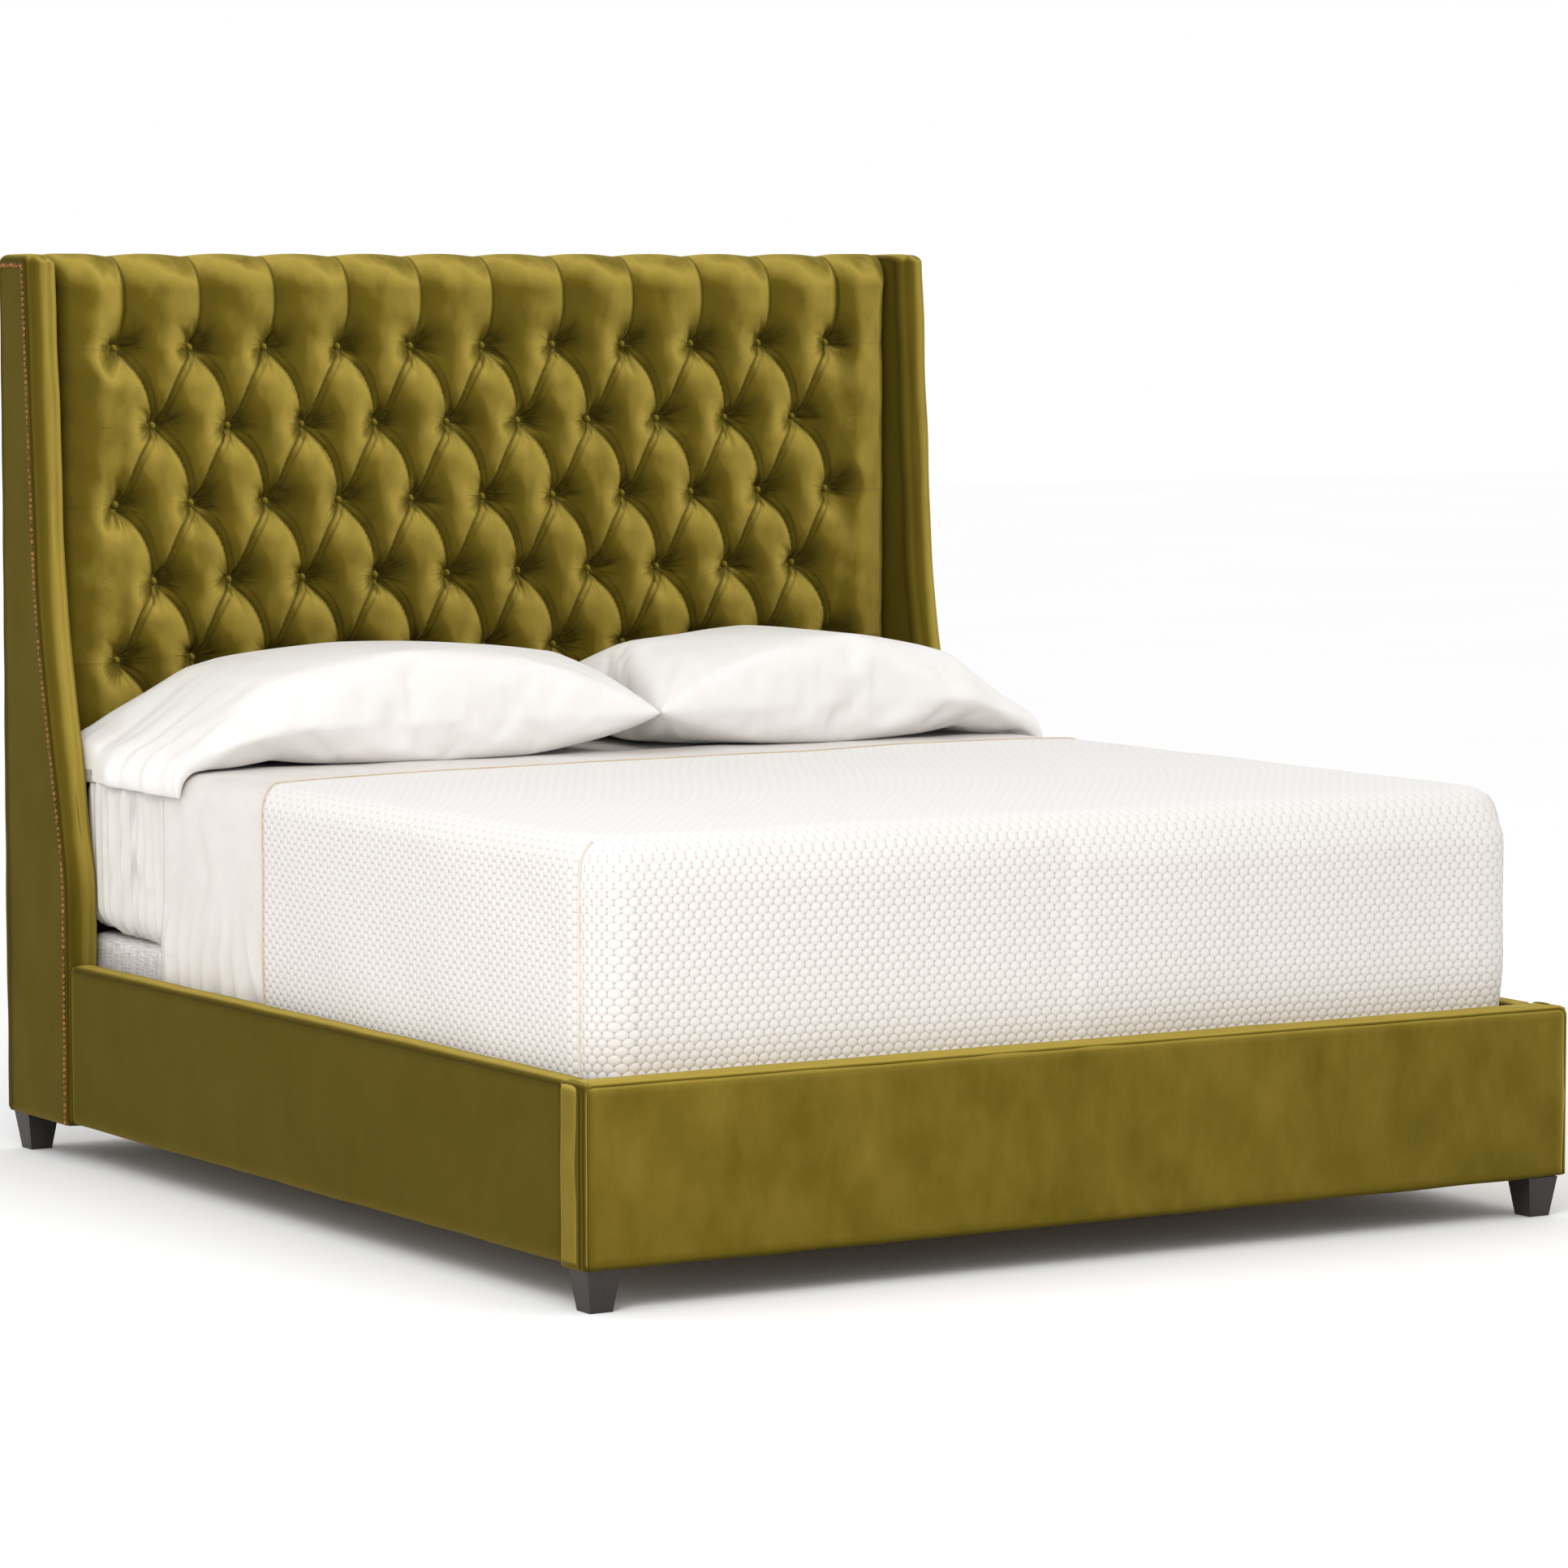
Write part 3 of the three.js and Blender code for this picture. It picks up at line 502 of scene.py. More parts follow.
def cotton_material(name, light, shade, crease=0.0015):
    """Woven cotton sheeting: fine crossed threads and soft, ironed-in creases."""
    s = Shader(name)
    creases = s.noise(9.0, 4.0, 0.5, distortion=1.2)
    threads_a = s.noise(900.0, 1.0, 0.5, where=s.stretched((1.0, 0.15, 0.15)))
    threads_b = s.noise(900.0, 1.0, 0.5, where=s.stretched((0.15, 1.0, 1.0)))
    weave = s.plus(threads_a, threads_b)
    # painted shade: the hollows of the creases get the shade colour
    s.set(Base_Color=s.ramp(creases, [(0.25, shade), (0.60, light)]))
    s.set(Roughness=0.9, Sheen_Weight=0.2, Sheen_Roughness=0.5)
    s.set(Specular_IOR_Level=0.2)
    s.set(Normal=s.bump(weave, 0.20, 0.0004, s.bump(creases, 0.35, crease)))
    return s.material


def pebble(s, across, down, shift):
    """Height of one of the two staggered sets of oval pebbles."""
    u = s.minus(s.math("FRACT", s.plus(across, shift)), 0.5)
    v = s.minus(s.math("FRACT", s.plus(down, shift)), 0.5)
    u, v = s.times(u, 1.82), s.times(v, 2.72)
    away = s.plus(s.times(u, u), s.times(v, v))
    return s.math("SQRT", s.math("MAXIMUM", s.minus(1.0, away), 0.0))


def quilted_material(name, light, shade, painted_lit_top_colour):
    """Pebble-quilted cotton: staggered oval tufts laid out in the cloth's own coordinates."""
    s = Shader(name)
    cloth = s.add("ShaderNodeUVMap", uv_map="cloth").outputs["UV"]
    split = s.add("ShaderNodeSeparateXYZ", {"Vector": cloth})
    drift = s.times(s.minus(s.noise(30.0, 2.0, 0.5), 0.5), 0.07)
    across = s.plus(s.over(split.outputs["X"], QUILT_PEBBLE[0]), drift)
    down = s.plus(s.over(split.outputs["Y"], 2 * QUILT_PEBBLE[1]), drift)
    puff = s.math("MAXIMUM", pebble(s, across, down, 0.0), pebble(s, across, down, 0.5))
    # the quilting is pulled flat on top of the bed, and upward-facing cloth is painted lighter
    # there: painted light from above
    normal = s.add("ShaderNodeNewGeometry").outputs["Normal"]
    level = s.add("ShaderNodeSeparateXYZ", {"Vector": normal}).outputs["Z"]
    flat_and_lit_top = s.times(s.math("MAXIMUM", level, 0.0), 0.65)
    # painted shade: the gaps between the pebbles get the shade colour
    s.set(Base_Color=s.mix(flat_and_lit_top, s.ramp(puff, [(0.0, shade), (0.62, light)]),
                           (*painted_lit_top_colour, 1.0)))
    s.set(Roughness=0.88, Sheen_Weight=0.25, Sheen_Roughness=0.5)
    s.set(Specular_IOR_Level=0.2)
    fine = s.noise(1100.0, 2.0, 0.6)
    raised = s.times(puff, s.minus(1.0, flat_and_lit_top))
    s.set(Normal=s.bump(fine, 0.15, 0.0004, s.bump(raised, 1.0, 0.0042)))
    return s.material


def linen_material(name, light, dark):
    """Heathered linen: grey and cream threads crossing."""
    s = Shader(name)
    warp = s.noise(420.0, 2.0, 0.7, where=s.stretched((1.0, 1.0, 0.06)))
    weft = s.noise(420.0, 2.0, 0.7, where=s.stretched((0.06, 0.06, 1.0)))
    heather = s.times(s.plus(warp, weft), 0.5)
    s.set(Base_Color=s.ramp(heather, [(0.40, dark), (0.58, light)]))
    s.set(Roughness=0.95, Sheen_Weight=0.15)
    s.set(Normal=s.bump(heather, 0.5, 0.0008))
    return s.material


def wood_material(name, light, dark, roughness, grain_along, gloss=0.0, fine=60.0):
    """Wood with its grain along an axis (0, 1 or 2)."""
    s = Shader(name)
    scale = [1.0, 1.0, 1.0]
    scale[grain_along] = 0.06
    stretched = s.stretched(tuple(scale))
    rings = s.noise(fine, 6.0, 0.62, where=stretched, distortion=1.4)
    pores = s.noise(fine * 9, 2.0, 0.6, where=stretched)
    s.set(Base_Color=s.mix(s.times(pores, 0.35),
                           s.ramp(rings, [(0.35, dark), (0.65, light)]), (*dark, 1.0)))
    s.set(Roughness=s.plus(s.times(rings, 0.18), roughness))
    s.set(Coat_Weight=gloss, Coat_Roughness=0.25)
    s.set(Normal=s.bump(pores, 0.25, 0.0004, s.bump(rings, 0.15, 0.0008)))
    return s.material


def metal_material(name, bright, worn, roughness, scale):
    """Metal with a patchy patina."""
    s = Shader(name)
    patina = s.noise(scale, 4.0, 0.6)
    s.set(Base_Color=s.ramp(patina, [(0.38, worn), (0.62, bright)]))
    s.set(Metallic=0.95)
    s.set(Roughness=s.plus(s.times(patina, 0.25), roughness))
    s.set(Normal=s.bump(s.noise(scale * 7, 2.0), 0.2, 0.0003))
    return s.material


def floor_material():
    s = Shader("pale_floor")
    s.set(Base_Color=s.ramp(s.noise(0.6), [(0.3, (0.975, 0.975, 0.975)), (0.7, (0.99, 0.99, 0.99))]))
    s.set(Roughness=0.9, Specular_IOR_Level=0.0)
    return s.material


# painted light and shade: the velvet's colours run from surfaces facing left (side) through dark and
# middle to the painted highlight (light), and turned past it
OLIVE = {"side": (0.098, 0.070, 0.005), "dark": (0.036, 0.025, 0.001),
         "middle": (0.124, 0.089, 0.007), "light": (0.42, 0.312, 0.056),
         "turned": (0.19, 0.140, 0.018)}
VELVET = velvet_material("olive_velvet", **OLIVE)
# painted light: the footboard's end bands use the velvet with its shading ramp raised, painting them
# lighter
LIGHTER_PAINTED_BAND_VELVET = velvet_material("olive_velvet_painted_lighter", **OLIVE, raised=0.50)
# painted light: the tufted velvet's shading ramp is raised a little, painting it lighter; its random
# mottling is stronger
TUFTED_VELVET = velvet_material("tufted_olive_velvet", **OLIVE, raised=0.040, mottle=0.20,
                                pleats=True)
SHEETING = cotton_material("cream_sheeting", (0.70, 0.665, 0.63), (0.655, 0.615, 0.57))
CASE_COTTON = cotton_material("pillowcase_cotton", (0.835, 0.815, 0.795), (0.80, 0.775, 0.74),
                              0.0016)
# the shade colour is painted shade between the pebbles; the last colour is painted light on the
# bed's top
QUILT = quilted_material("pebble_quilt", (0.720, 0.687, 0.655), (0.35, 0.315, 0.27),
                         (0.80, 0.785, 0.77))
# a rolled edge whose warm tan colour is painted shadow along the coverlet's head edge
HEM_PAINTED_SHADOW = cotton_material("hem_painted_shadow", (0.64, 0.50, 0.33), (0.52, 0.38, 0.22))
# the corner seams' cords: real folds whose darker cream is painted shadow along the seam
SEAM_PAINTED_SHADE = cotton_material("corner_seam_painted_shade", (0.70, 0.65, 0.58), (0.60, 0.54, 0.46))
TICKING = cotton_material("ticking", (0.80, 0.78, 0.74), (0.72, 0.70, 0.66))
LINEN = linen_material("heathered_linen", (0.78, 0.75, 0.73), (0.46, 0.43, 0.42))
ESPRESSO = wood_material("espresso_wood", (0.022, 0.014, 0.011), (0.011, 0.007, 0.006), 0.42, 2,
                         gloss=0.04)
LUMBER = wood_material("pine_lumber", (0.58, 0.40, 0.22), (0.42, 0.26, 0.12), 0.6, 0)
LUMBER_LONG = wood_material("pine_lumber_long", (0.58, 0.40, 0.22), (0.42, 0.26, 0.12), 0.6, 1)
PLYWOOD = wood_material("birch_plywood", (0.68, 0.52, 0.33), (0.56, 0.40, 0.23), 0.6, 0, fine=30.0)
STEEL = metal_material("zinc_steel", (0.55, 0.55, 0.57), (0.30, 0.30, 0.32), 0.30, 60.0)
BRONZE = metal_material("antique_bronze", (0.40, 0.185, 0.050), (0.10, 0.040, 0.010), 0.30, 140.0)
DUST_CLOTH = linen_material("black_dust_cloth", (0.035, 0.033, 0.03), (0.015, 0.014, 0.013))


# ---- tufted headboard ------------------------------------------------------------------------
def button_centres():
    """(x, z) of each covered button, in offset rows."""
    centres = []
    for row in range(BUTTON_ROWS):
        count = BUTTONS_IN_WIDE_ROW - row % 2
        for i in range(count):
            centres.append(((i - (count - 1) / 2) * BUTTON_PITCH_X,
                            BUTTON_TOP_Z - row * BUTTON_PITCH_Z))
    return np.array(centres)


def nearest_button(x, t):
    """Distance from each point to the nearest button."""
    nearest = np.full(x.shape, 1.0)
    for bx, bt in button_centres():
        nearest = np.minimum(nearest, np.hypot(x - bx, t - bt))
    return nearest


def puff_share(x, t):
    """0 on the pleats and 1 at the middle of each puff, t measured up the cover."""
    a = x / (BUTTON_PITCH_X / 2)
    b = (t - BUTTON_TOP_Z) / BUTTON_PITCH_Z
    climb = np.clip(b * TOP_PLEAT_SPAN, 0, 1)
    a_in = np.clip(a - TOP_PLEAT_BOW * np.sin(math.pi * climb), -LAST_COLUMN, LAST_COLUMN)
    b_in = np.clip(b, -(BUTTON_ROWS - 1), 0)
    u, v = (a_in + b_in) / 2, (a_in - b_in) / 2
    sagged_u = u - PLEAT_SAG * np.sin(math.pi * v) ** 2
    sagged_v = v + PLEAT_SAG * np.sin(math.pi * u) ** 2
    share = np.abs(np.sin(math.pi * sagged_u) * np.sin(math.pi * sagged_v))
    beside = smoothstep((np.abs(a) - LAST_COLUMN) / 0.75)
    return share + (1 - share) * beside


def cover_depth(x, t, over_top):
    """How far the velvet lies behind the crests' surface."""
    away = nearest_button(x, t)
    share = puff_share(x, t)
    funnel = 1 - np.exp(-np.clip(away - BUTTON_PIT, 0, None) / FUNNEL_WIDTH)
    valley = PLEAT_HEIGHT * funnel
    puff = share ** 0.45 * smoothstep((away - 0.004) / PUFF_WIDTH)
    height = valley + (CREST_HEIGHT - valley) * puff
    place = np.stack([x.ravel(), np.zeros(x.size), t.ravel()], axis=1)
    height = height + (0.0016 * wave_noise(place, 0.10, 3)).reshape(x.shape) * share
    height = height + small_folds(x, t)
    scalloped = TOP_SCALLOP * (1 - share ** 0.6)
    return (CREST_HEIGHT - height) * (1 - over_top) + scalloped * over_top


def small_folds(x, t):
    """A few longer, random folds that leave each button towards a neighbour."""
    rng = np.random.default_rng(17)
    total = np.zeros_like(x)
    for bx, bt in button_centres():
        near = np.hypot(x - bx, t - bt) < FOLD_REACH
        dx, dt = x[near] - bx, t[near] - bt
        away = np.hypot(dx, dt)
        relief = np.zeros(len(dx))
        for _ in range(FOLDS_PER_BUTTON):
            heading = rng.uniform(0, 2 * math.pi)
            length = rng.uniform(*FOLD_LENGTHS)
            along = dx * math.cos(heading) + dt * math.sin(heading)
            across = -dx * math.sin(heading) + dt * math.cos(heading) - 3.0 * along ** 2
            fade = smoothstep((away - BUTTON_PIT) / 0.010) * (1 - smoothstep(away / length))
            groove = rng.uniform(*FOLD_DEPTHS) * np.exp(-(across / FOLD_HALF_WIDTH) ** 2)
            relief -= np.where(along > 0, groove * fade, 0)
        total[near] += relief
    return total


def tufted_cover():
    low, high = size("tufted_pad")
    half_width, back = high[0], high[1]
    crest_y = low[1] - CREST_PROUD
    crest_z = size("headboard_top_rail")[1][2]
    crest_z = max(crest_z, high[2]) + PAD_TOP_RISE
    radius = PAD_TOP_RADIUS
    rear, hang = PAD_REAR_RADIUS, PAD_REAR_HANG
    upright = crest_z - radius - low[2]
    arc, rear_arc = math.pi / 2 * radius, math.pi / 2 * rear
    flat_top = back - crest_y - radius - rear
    total = upright + arc + flat_top + rear_arc + hang
    columns = int(round(2 * half_width / PAD_STEP)) + 1
    rows = int(round(total / PAD_STEP)) + 1
    xx, ss = np.meshgrid(np.linspace(-half_width, half_width, columns),
                         np.linspace(0, total, rows))
    bend = np.clip((ss - upright) / arc, 0, 1) * math.pi / 2
    fall = np.clip((ss - upright - arc - flat_top) / rear_arc, 0, 1) * math.pi / 2
    turn = bend + fall
    y = (crest_y + radius * (1 - np.cos(bend)) + np.clip(ss - upright - arc, 0, flat_top)
         + rear * np.sin(fall))
    z = (low[2] + np.clip(ss, 0, upright) + radius * np.sin(bend) - rear * (1 - np.cos(fall))
         - np.clip(ss - total + hang, 0, None))
    over_top = smoothstep((ss - upright + 0.010) / (arc + 0.010))
    depth = cover_depth(xx, low[2] + ss, over_top)
    # the pad rolls back where it meets the wings
    edge = np.clip((np.abs(xx) - (half_width - PAD_SIDE_ROLL)) / PAD_SIDE_ROLL, 0, 1)
    roll = PAD_SIDE_ROLL * (1 - np.sqrt(np.clip(1 - edge ** 2, 0, 1)))
    slope_width, slope_depth = PAD_SIDE_SLOPE
    slope = slope_depth * np.clip((np.abs(xx) - half_width) / slope_width + 1, 0, 1) ** 1.6
    depth = depth + (slope + roll * 0.75) * (1 - over_top) + roll * 0.3 * over_top
    points = np.stack([xx, y + depth * np.cos(turn), z - depth * np.sin(turn)], axis=-1)
    cover = mesh_object("tufted_cover", points.reshape(-1, 3), grid_faces(rows, columns),
                        TUFTED_VELVET, "bed_frame", ["tufted_pad"])


def covered_buttons():
    rim_y = size("tuft_buttons")[0][1] + BUTTON_RIM
    points, faces = [], []
    for bx, bz in button_centres():
        start = len(points)
        for ring in range(BUTTON_RINGS):
            tilt = math.pi / 2 * ring / BUTTON_RINGS
            radius = BUTTON_RADIUS * math.cos(tilt)
            y = rim_y - BUTTON_CROWN * math.sin(tilt)
            for k in range(BUTTON_SIDES):
                angle = 2 * math.pi * k / BUTTON_SIDES
                points.append((bx + radius * math.cos(angle), y, bz + radius * math.sin(angle)))
        points.append((bx, rim_y - BUTTON_CROWN, bz))
        faces.extend(dome_faces(start, BUTTON_RINGS, BUTTON_SIDES))
    mesh_object("covered_buttons", points, faces, VELVET, "bed_frame", ["tuft_buttons"])


# ---- wings -----------------------------------------------------------------------------------
def wing_front():
    """Heights and front edge y of the wing's outline, smoothed from the CAD outline."""
    points = np.array([v.co for v in frame["nodes"]["wing_outer_panel_right"].data.vertices])
    back = points[:, 1].max()
    outline = points[points[:, 1] < back - 0.01]
    heights = np.unique(np.round(outline[:, 2], 5))
    front = np.array([outline[np.abs(outline[:, 2] - h) < 1e-4, 1].min() for h in heights])
    z = np.linspace(heights[0], heights[-1], 220)
    y = np.interp(z, heights, front)
    kernel = np.hanning(17)
    padded = np.pad(y, 8, mode="edge")
    return z, np.convolve(padded, kernel / kernel.sum(), mode="valid")


def wing_cover(side):
    z, front = wing_front()
    low, high = size(f"wing_outer_panel_{side}")
    inner = size(f"wing_inner_panel_{side}")
    x0, x1 = min(low[0], inner[0][0]), max(high[0], inner[1][0])
    centre, half = (x0 + x1) / 2, (x1 - x0) / 2
    back, top = high[1] + WING_BACK_PROUD, z[-1]
    rings = []

    def ring(height, y_front, shrink):
        outline = wing_section(half - shrink, y_front + shrink, back - shrink * 0.3, SIDES[side])
        return np.column_stack([outline[:, 0] + centre, outline[:, 1],
                                np.full(len(outline), height)])

    rings.append(ring(z[0], front[0], 0.012))
    rings.append(ring(z[0], front[0], 0.004))
    rings.extend(ring(height, y_front, 0.0)
                 for height, y_front in zip(z[1:], front[1:]) if height > z[0] + 0.003)
    for angle in np.linspace(0.15, math.pi / 2, 9):
        rings.append(ring(top + WING_DOME * math.sin(angle), front[-1],
                          0.018 * (1 - math.cos(angle))))
    last = rings[-1]
    middle = last.mean(axis=0)
    for share in (0.6, 0.25):
        closer = middle + (last - middle) * share
        closer[:, 2] = last[:, 2] + 0.002 * (1 - share)
        rings.append(closer)
    points, faces = loft(rings)
    ripple = WING_RIPPLE * wave_noise(points * (1, 1, 0.6), 0.15, 20 if side == "left" else 21)
    points[:, 0] += ripple * np.sign(points[:, 0] - centre)
    points[:, 1] -= ripple * (points[:, 1] < back - 0.02)
    cover = mesh_object(f"wing_cover_{side}", points, faces, VELVET, "bed_frame",
                        [f"wing_outer_panel_{side}", f"wing_inner_panel_{side}",
                         f"wing_front_band_{side}"])


def wing_section(half, y_front, y_back, outward):
    """Level section of a wing: a soft roll in front, rounder towards the tufting, crisp behind."""
    r, w, b = WING_OUTER_ROUND, WING_INNER_ROUND, WING_BACK_ROUND
    path = [(half, y_back - b + (y_front + r - y_back + b) * k / 9) for k in range(9)]
    path += [(half - r + r * math.cos(t), y_front + r - r * math.sin(t))
             for t in np.linspace(0, math.pi / 2, 7)]
    path += [(half - r + (w + r - 2 * half) * k / 10,
              y_front - WING_FRONT_CROWN * math.sin(math.pi * k / 10)) for k in range(1, 10)]
    path += [(-half + w - w * math.sin(t), y_front + w - w * math.cos(t))
             for t in np.linspace(0, math.pi / 2, 9)]
    path += [(-half, y_front + w + (y_back - b - y_front - w) * k / 9) for k in range(1, 9)]
    path += [(-half + b - b * math.cos(t), y_back - b + b * math.sin(t))
             for t in np.linspace(0, math.pi / 2, 4)]
    path += [(half - b + b * math.sin(t), y_back - b + b * math.cos(t))
             for t in np.linspace(0, math.pi / 2, 4)]
    section = np.array(path) * (outward, 1)
    return section if outward < 0 else section[::-1]


def nail_path():
    """(y, z) of each nail: up the wing's front edge, then back along its top."""
    z, front = wing_front()
    y = front + NAIL_INSET
    top = z[-1] - 0.004
    keep = z < top
    back = size("wing_outer_panel_right")[1][1] - 0.008
    path = np.column_stack([np.append(y[keep], back), np.append(z[keep], top)])
    path = np.insert(path, len(path) - 1, (y[keep][-1], top), axis=0)
    lengths = np.concatenate([[0], np.cumsum(np.linalg.norm(np.diff(path, axis=0), axis=1))])
    places = np.arange(NAIL_RADIUS, lengths[-1], NAIL_PITCH)
    return np.column_stack([np.interp(places, lengths, path[:, k]) for k in (0, 1)])


def nailheads(side):
    sign = SIDES[side]
    face = abs(size(f"wing_outer_panel_{side}")[0 if sign < 0 else 1][0])
    rim = face - NAIL_SINK
    points, faces = [], []
    for y, z in nail_path():
        start = len(points)
        for ring in range(NAIL_RINGS):
            tilt = math.pi / 2 * ring / NAIL_RINGS
            radius = NAIL_RADIUS * math.cos(tilt)
            x = rim + NAIL_CROWN * math.sin(tilt)
            for k in range(NAIL_SIDES):
                angle = 2 * math.pi * k / NAIL_SIDES * sign
                points.append((sign * x, y + radius * math.cos(angle),
                               z + radius * math.sin(angle)))
        points.append((sign * (rim + NAIL_CROWN), y, z))
        faces.extend(dome_faces(start, NAIL_RINGS, NAIL_SIDES))
    mesh_object(f"nailheads_{side}", points, faces, BRONZE, "bed_frame", [f"nail_trim_{side}"])


# ---- rails and footboard ---------------------------------------------------------------------
def padded_piece(name, node, radius, bulge, seed, step=0.03):
    low, high = size(node)
    points, faces = soft_box(low, high, radius, step, bulge, seed)
    body = body_of(frame["nodes"][node])[0]
    mesh_object(name, points, faces, VELVET, body, [node])


def rails_and_footboard():
    for index, side in enumerate(SIDES):
        padded_piece(f"side_rail_padding_{side}", f"side_rail_cover_{side}", 0.012, 0.0015,
                     30 + index, step=0.012)
    padded_piece("footboard_padding", "footboard_cover", 0.007, 0.002, 40, step=0.010)
    padded_piece("headboard_lower_padding", "headboard_lower_panel", 0.008, 0.002, 41)
    footboard_welt()
    for side in SIDES:
        footboard_end_band(side)


def tube(points, radius, sides=8):
    """Points and faces of a round cord along a list of points, closed at both ends."""
    path = np.array(points, float)
    ahead = np.gradient(path, axis=0)
    ahead /= np.linalg.norm(ahead, axis=1, keepdims=True)
    across = np.cross(ahead[0], (0.31, 0.17, 0.94))
    rings = []
    for place, direction in zip(path, ahead):
        across = across - direction * across.dot(direction)
        across /= np.linalg.norm(across)
        other = np.cross(direction, across)
        rings.append(np.array([place + radius * (math.cos(a) * across + math.sin(a) * other)
                               for a in np.arange(sides) * 2 * math.pi / sides]))
    return loft(rings)


def footboard_welt():
    """Two cords up each end of the footboard and along its top, near the front edge."""
    low, high = size("footboard_cover")
    x, front, bottom, top = high[0], low[1], low[2], high[2]
    sink, turn = WELT_RADIUS * 0.25, WELT_TURN
    for name, inset in WELT_INSETS.items():
        y = front + inset
        side_x, top_z = x - sink, top - sink
        climb = [(-side_x, y, z) for z in np.linspace(bottom + 0.004, top_z - turn, 30)]
        bend = [(-side_x + turn * (1 - math.cos(t)), y, top_z - turn + turn * math.sin(t))
                for t in np.linspace(0.2, math.pi / 2, 7)]
        across = [(px, y, top_z) for px in np.linspace(-side_x + 2 * turn, 0, 40)]
        half = climb + bend + across
        path = half + [(-px, py, pz) for px, py, pz in half[-2::-1]]
        cloud, faces = tube(path, WELT_RADIUS)
        mesh_object(f"footboard_welt_{name}", cloud, faces, VELVET, "bed_frame",
                    ["footboard_welt_left", "footboard_welt_right"] if name == "front" else [])


def footboard_end_band(side):
    """A strip stretched over each end of the footboard, from its cords to its back."""
    low, high = size("footboard_cover")
    front = low[1] + WELT_INSETS["back"] + WELT_RADIUS
    across = np.linspace(front, high[1] - 0.001, 15)
    share = (across - front) / np.ptp(across)
    crown = END_BAND_CROWN * np.clip(4 * share * (1 - share), 0, 1) ** 0.45
    heights = np.linspace(low[2] + 0.006, high[2] - END_BAND_SINK - END_BAND_TURN, 40)
    face, top = high[0] - END_BAND_SINK, high[2] - END_BAND_SINK
    rings = [np.column_stack([face + crown, across, np.full(len(across), z)]) for z in heights]
    for angle in np.linspace(0, math.pi / 2, 7)[1:]:
        rings.append(np.column_stack([
            face - END_BAND_TURN + (END_BAND_TURN + crown) * math.cos(angle), across,
            top - END_BAND_TURN + (END_BAND_TURN + crown) * math.sin(angle)]))
    points = np.concatenate(rings) * (SIDES[side], 1, 1)
    faces = grid_faces(len(rings), len(across))
    if SIDES[side] < 0:
        faces = [quad[::-1] for quad in faces]
    obj = mesh_object(f"footboard_end_band_{side}", points, faces, LIGHTER_PAINTED_BAND_VELVET, "bed_frame", [])
    solid = obj.modifiers.new("backing", "SOLIDIFY")
    solid.thickness = END_BAND_THICKNESS
    solid.offset = -1.0


# ---- bedding ---------------------------------------------------------------------------------
def bed_cloth(half_x, y_foot, y_head, top_z, drop, corner, edge, wraps_head, step, tuck=0.0,
              offset=0.0, fine_from=None):
    """A cloth laid over the mattress and down its sides: grid of points, their outward normals,
    flat coordinates in the cloth, and how far each point has gone past the top's edge."""
    flat_x = half_x - corner
    reach = corner - edge + math.pi / 2 * edge + drop + (math.pi / 2 * edge + tuck if tuck else 0)
    s = np.linspace(-flat_x - reach, flat_x + reach, int(2 * (flat_x + reach) / step) + 1)
    t0 = y_foot + corner - reach
    t1 = y_head - corner + reach if wraps_head else y_head
    t = np.linspace(t0, t1, int((t1 - t0) / step) + 1)
    if fine_from is not None:
        fine = t[t > fine_from]
        t = np.sort(np.concatenate([t, (fine[1:] + fine[:-1]) / 2]))
    ss, tt = np.meshgrid(s, t)
    ds = np.clip(np.abs(ss) - flat_x, 0, None)
    foot = np.clip(y_foot + corner - tt, 0, None)
    head = np.clip(tt - (y_head - corner), 0, None) if wraps_head else np.zeros_like(tt)
    dt = foot + head
    longest = np.maximum(ds, dt)
    power = 2 + 10 * smoothstep((longest - (corner - edge)) / (2 * edge))
    rho = (ds ** power + dt ** power) ** (1 / power)
    angle = np.arctan2(dt, np.maximum(ds, 1e-9))
    angle = np.where((ds <= 0) & (dt <= 0), 0, angle)
    out, down, tilt = cloth_profile(rho, corner, edge, drop, tuck)
    sign_x = np.sign(ss)
    sign_y = np.where(foot > 0, -1.0, 1.0)
    base_x = np.clip(ss, -flat_x, flat_x)
    base_y = np.clip(tt, y_foot + corner, (y_head - corner) if wraps_head else 99)
    nx, ny = np.cos(angle) * sign_x, np.sin(angle) * sign_y
    x = base_x + out * nx
    y = base_y + out * ny
    normal = np.stack([np.sin(tilt) * nx, np.sin(tilt) * ny, np.cos(tilt)], axis=-1)
    points = np.stack([x, y, top_z - down], axis=-1) + normal * offset
    past = np.clip(rho - (corner - edge), 0, None)
    return points, normal, np.stack([ss, tt], axis=-1), past


def cloth_profile(rho, corner, edge, drop, tuck):
    """Outward reach, drop and tilt from upright of a cloth at distance rho from the flat top."""
    flat = corner - edge
    arc = math.pi / 2 * edge
    a = np.clip((rho - flat) / arc, 0, 1) * math.pi / 2
    straight = np.clip(rho - flat - arc, 0, drop)
    b = np.clip((rho - flat - arc - drop) / arc, 0, 1) * math.pi / 2 if tuck else rho * 0
    inward = np.clip(rho - flat - 2 * arc - drop, 0, None) if tuck else 0
    out = np.clip(rho, 0, flat) + edge * np.sin(a) - edge * (1 - np.cos(b)) - inward
    down = edge * (1 - np.cos(a)) + straight + edge * np.sin(b)
    return out, down, a + b


def cloth_object(name, points, material, body, replaced, uv, thickness):
    rows, columns = points.shape[:2]
    obj = mesh_object(name, points.reshape(-1, 3), grid_faces(rows, columns), material, body,
                      replaced, uv.reshape(-1, 2))
    solid = obj.modifiers.new("thickness", "SOLIDIFY")
    solid.thickness = thickness
    solid.offset = -1.0
    return obj


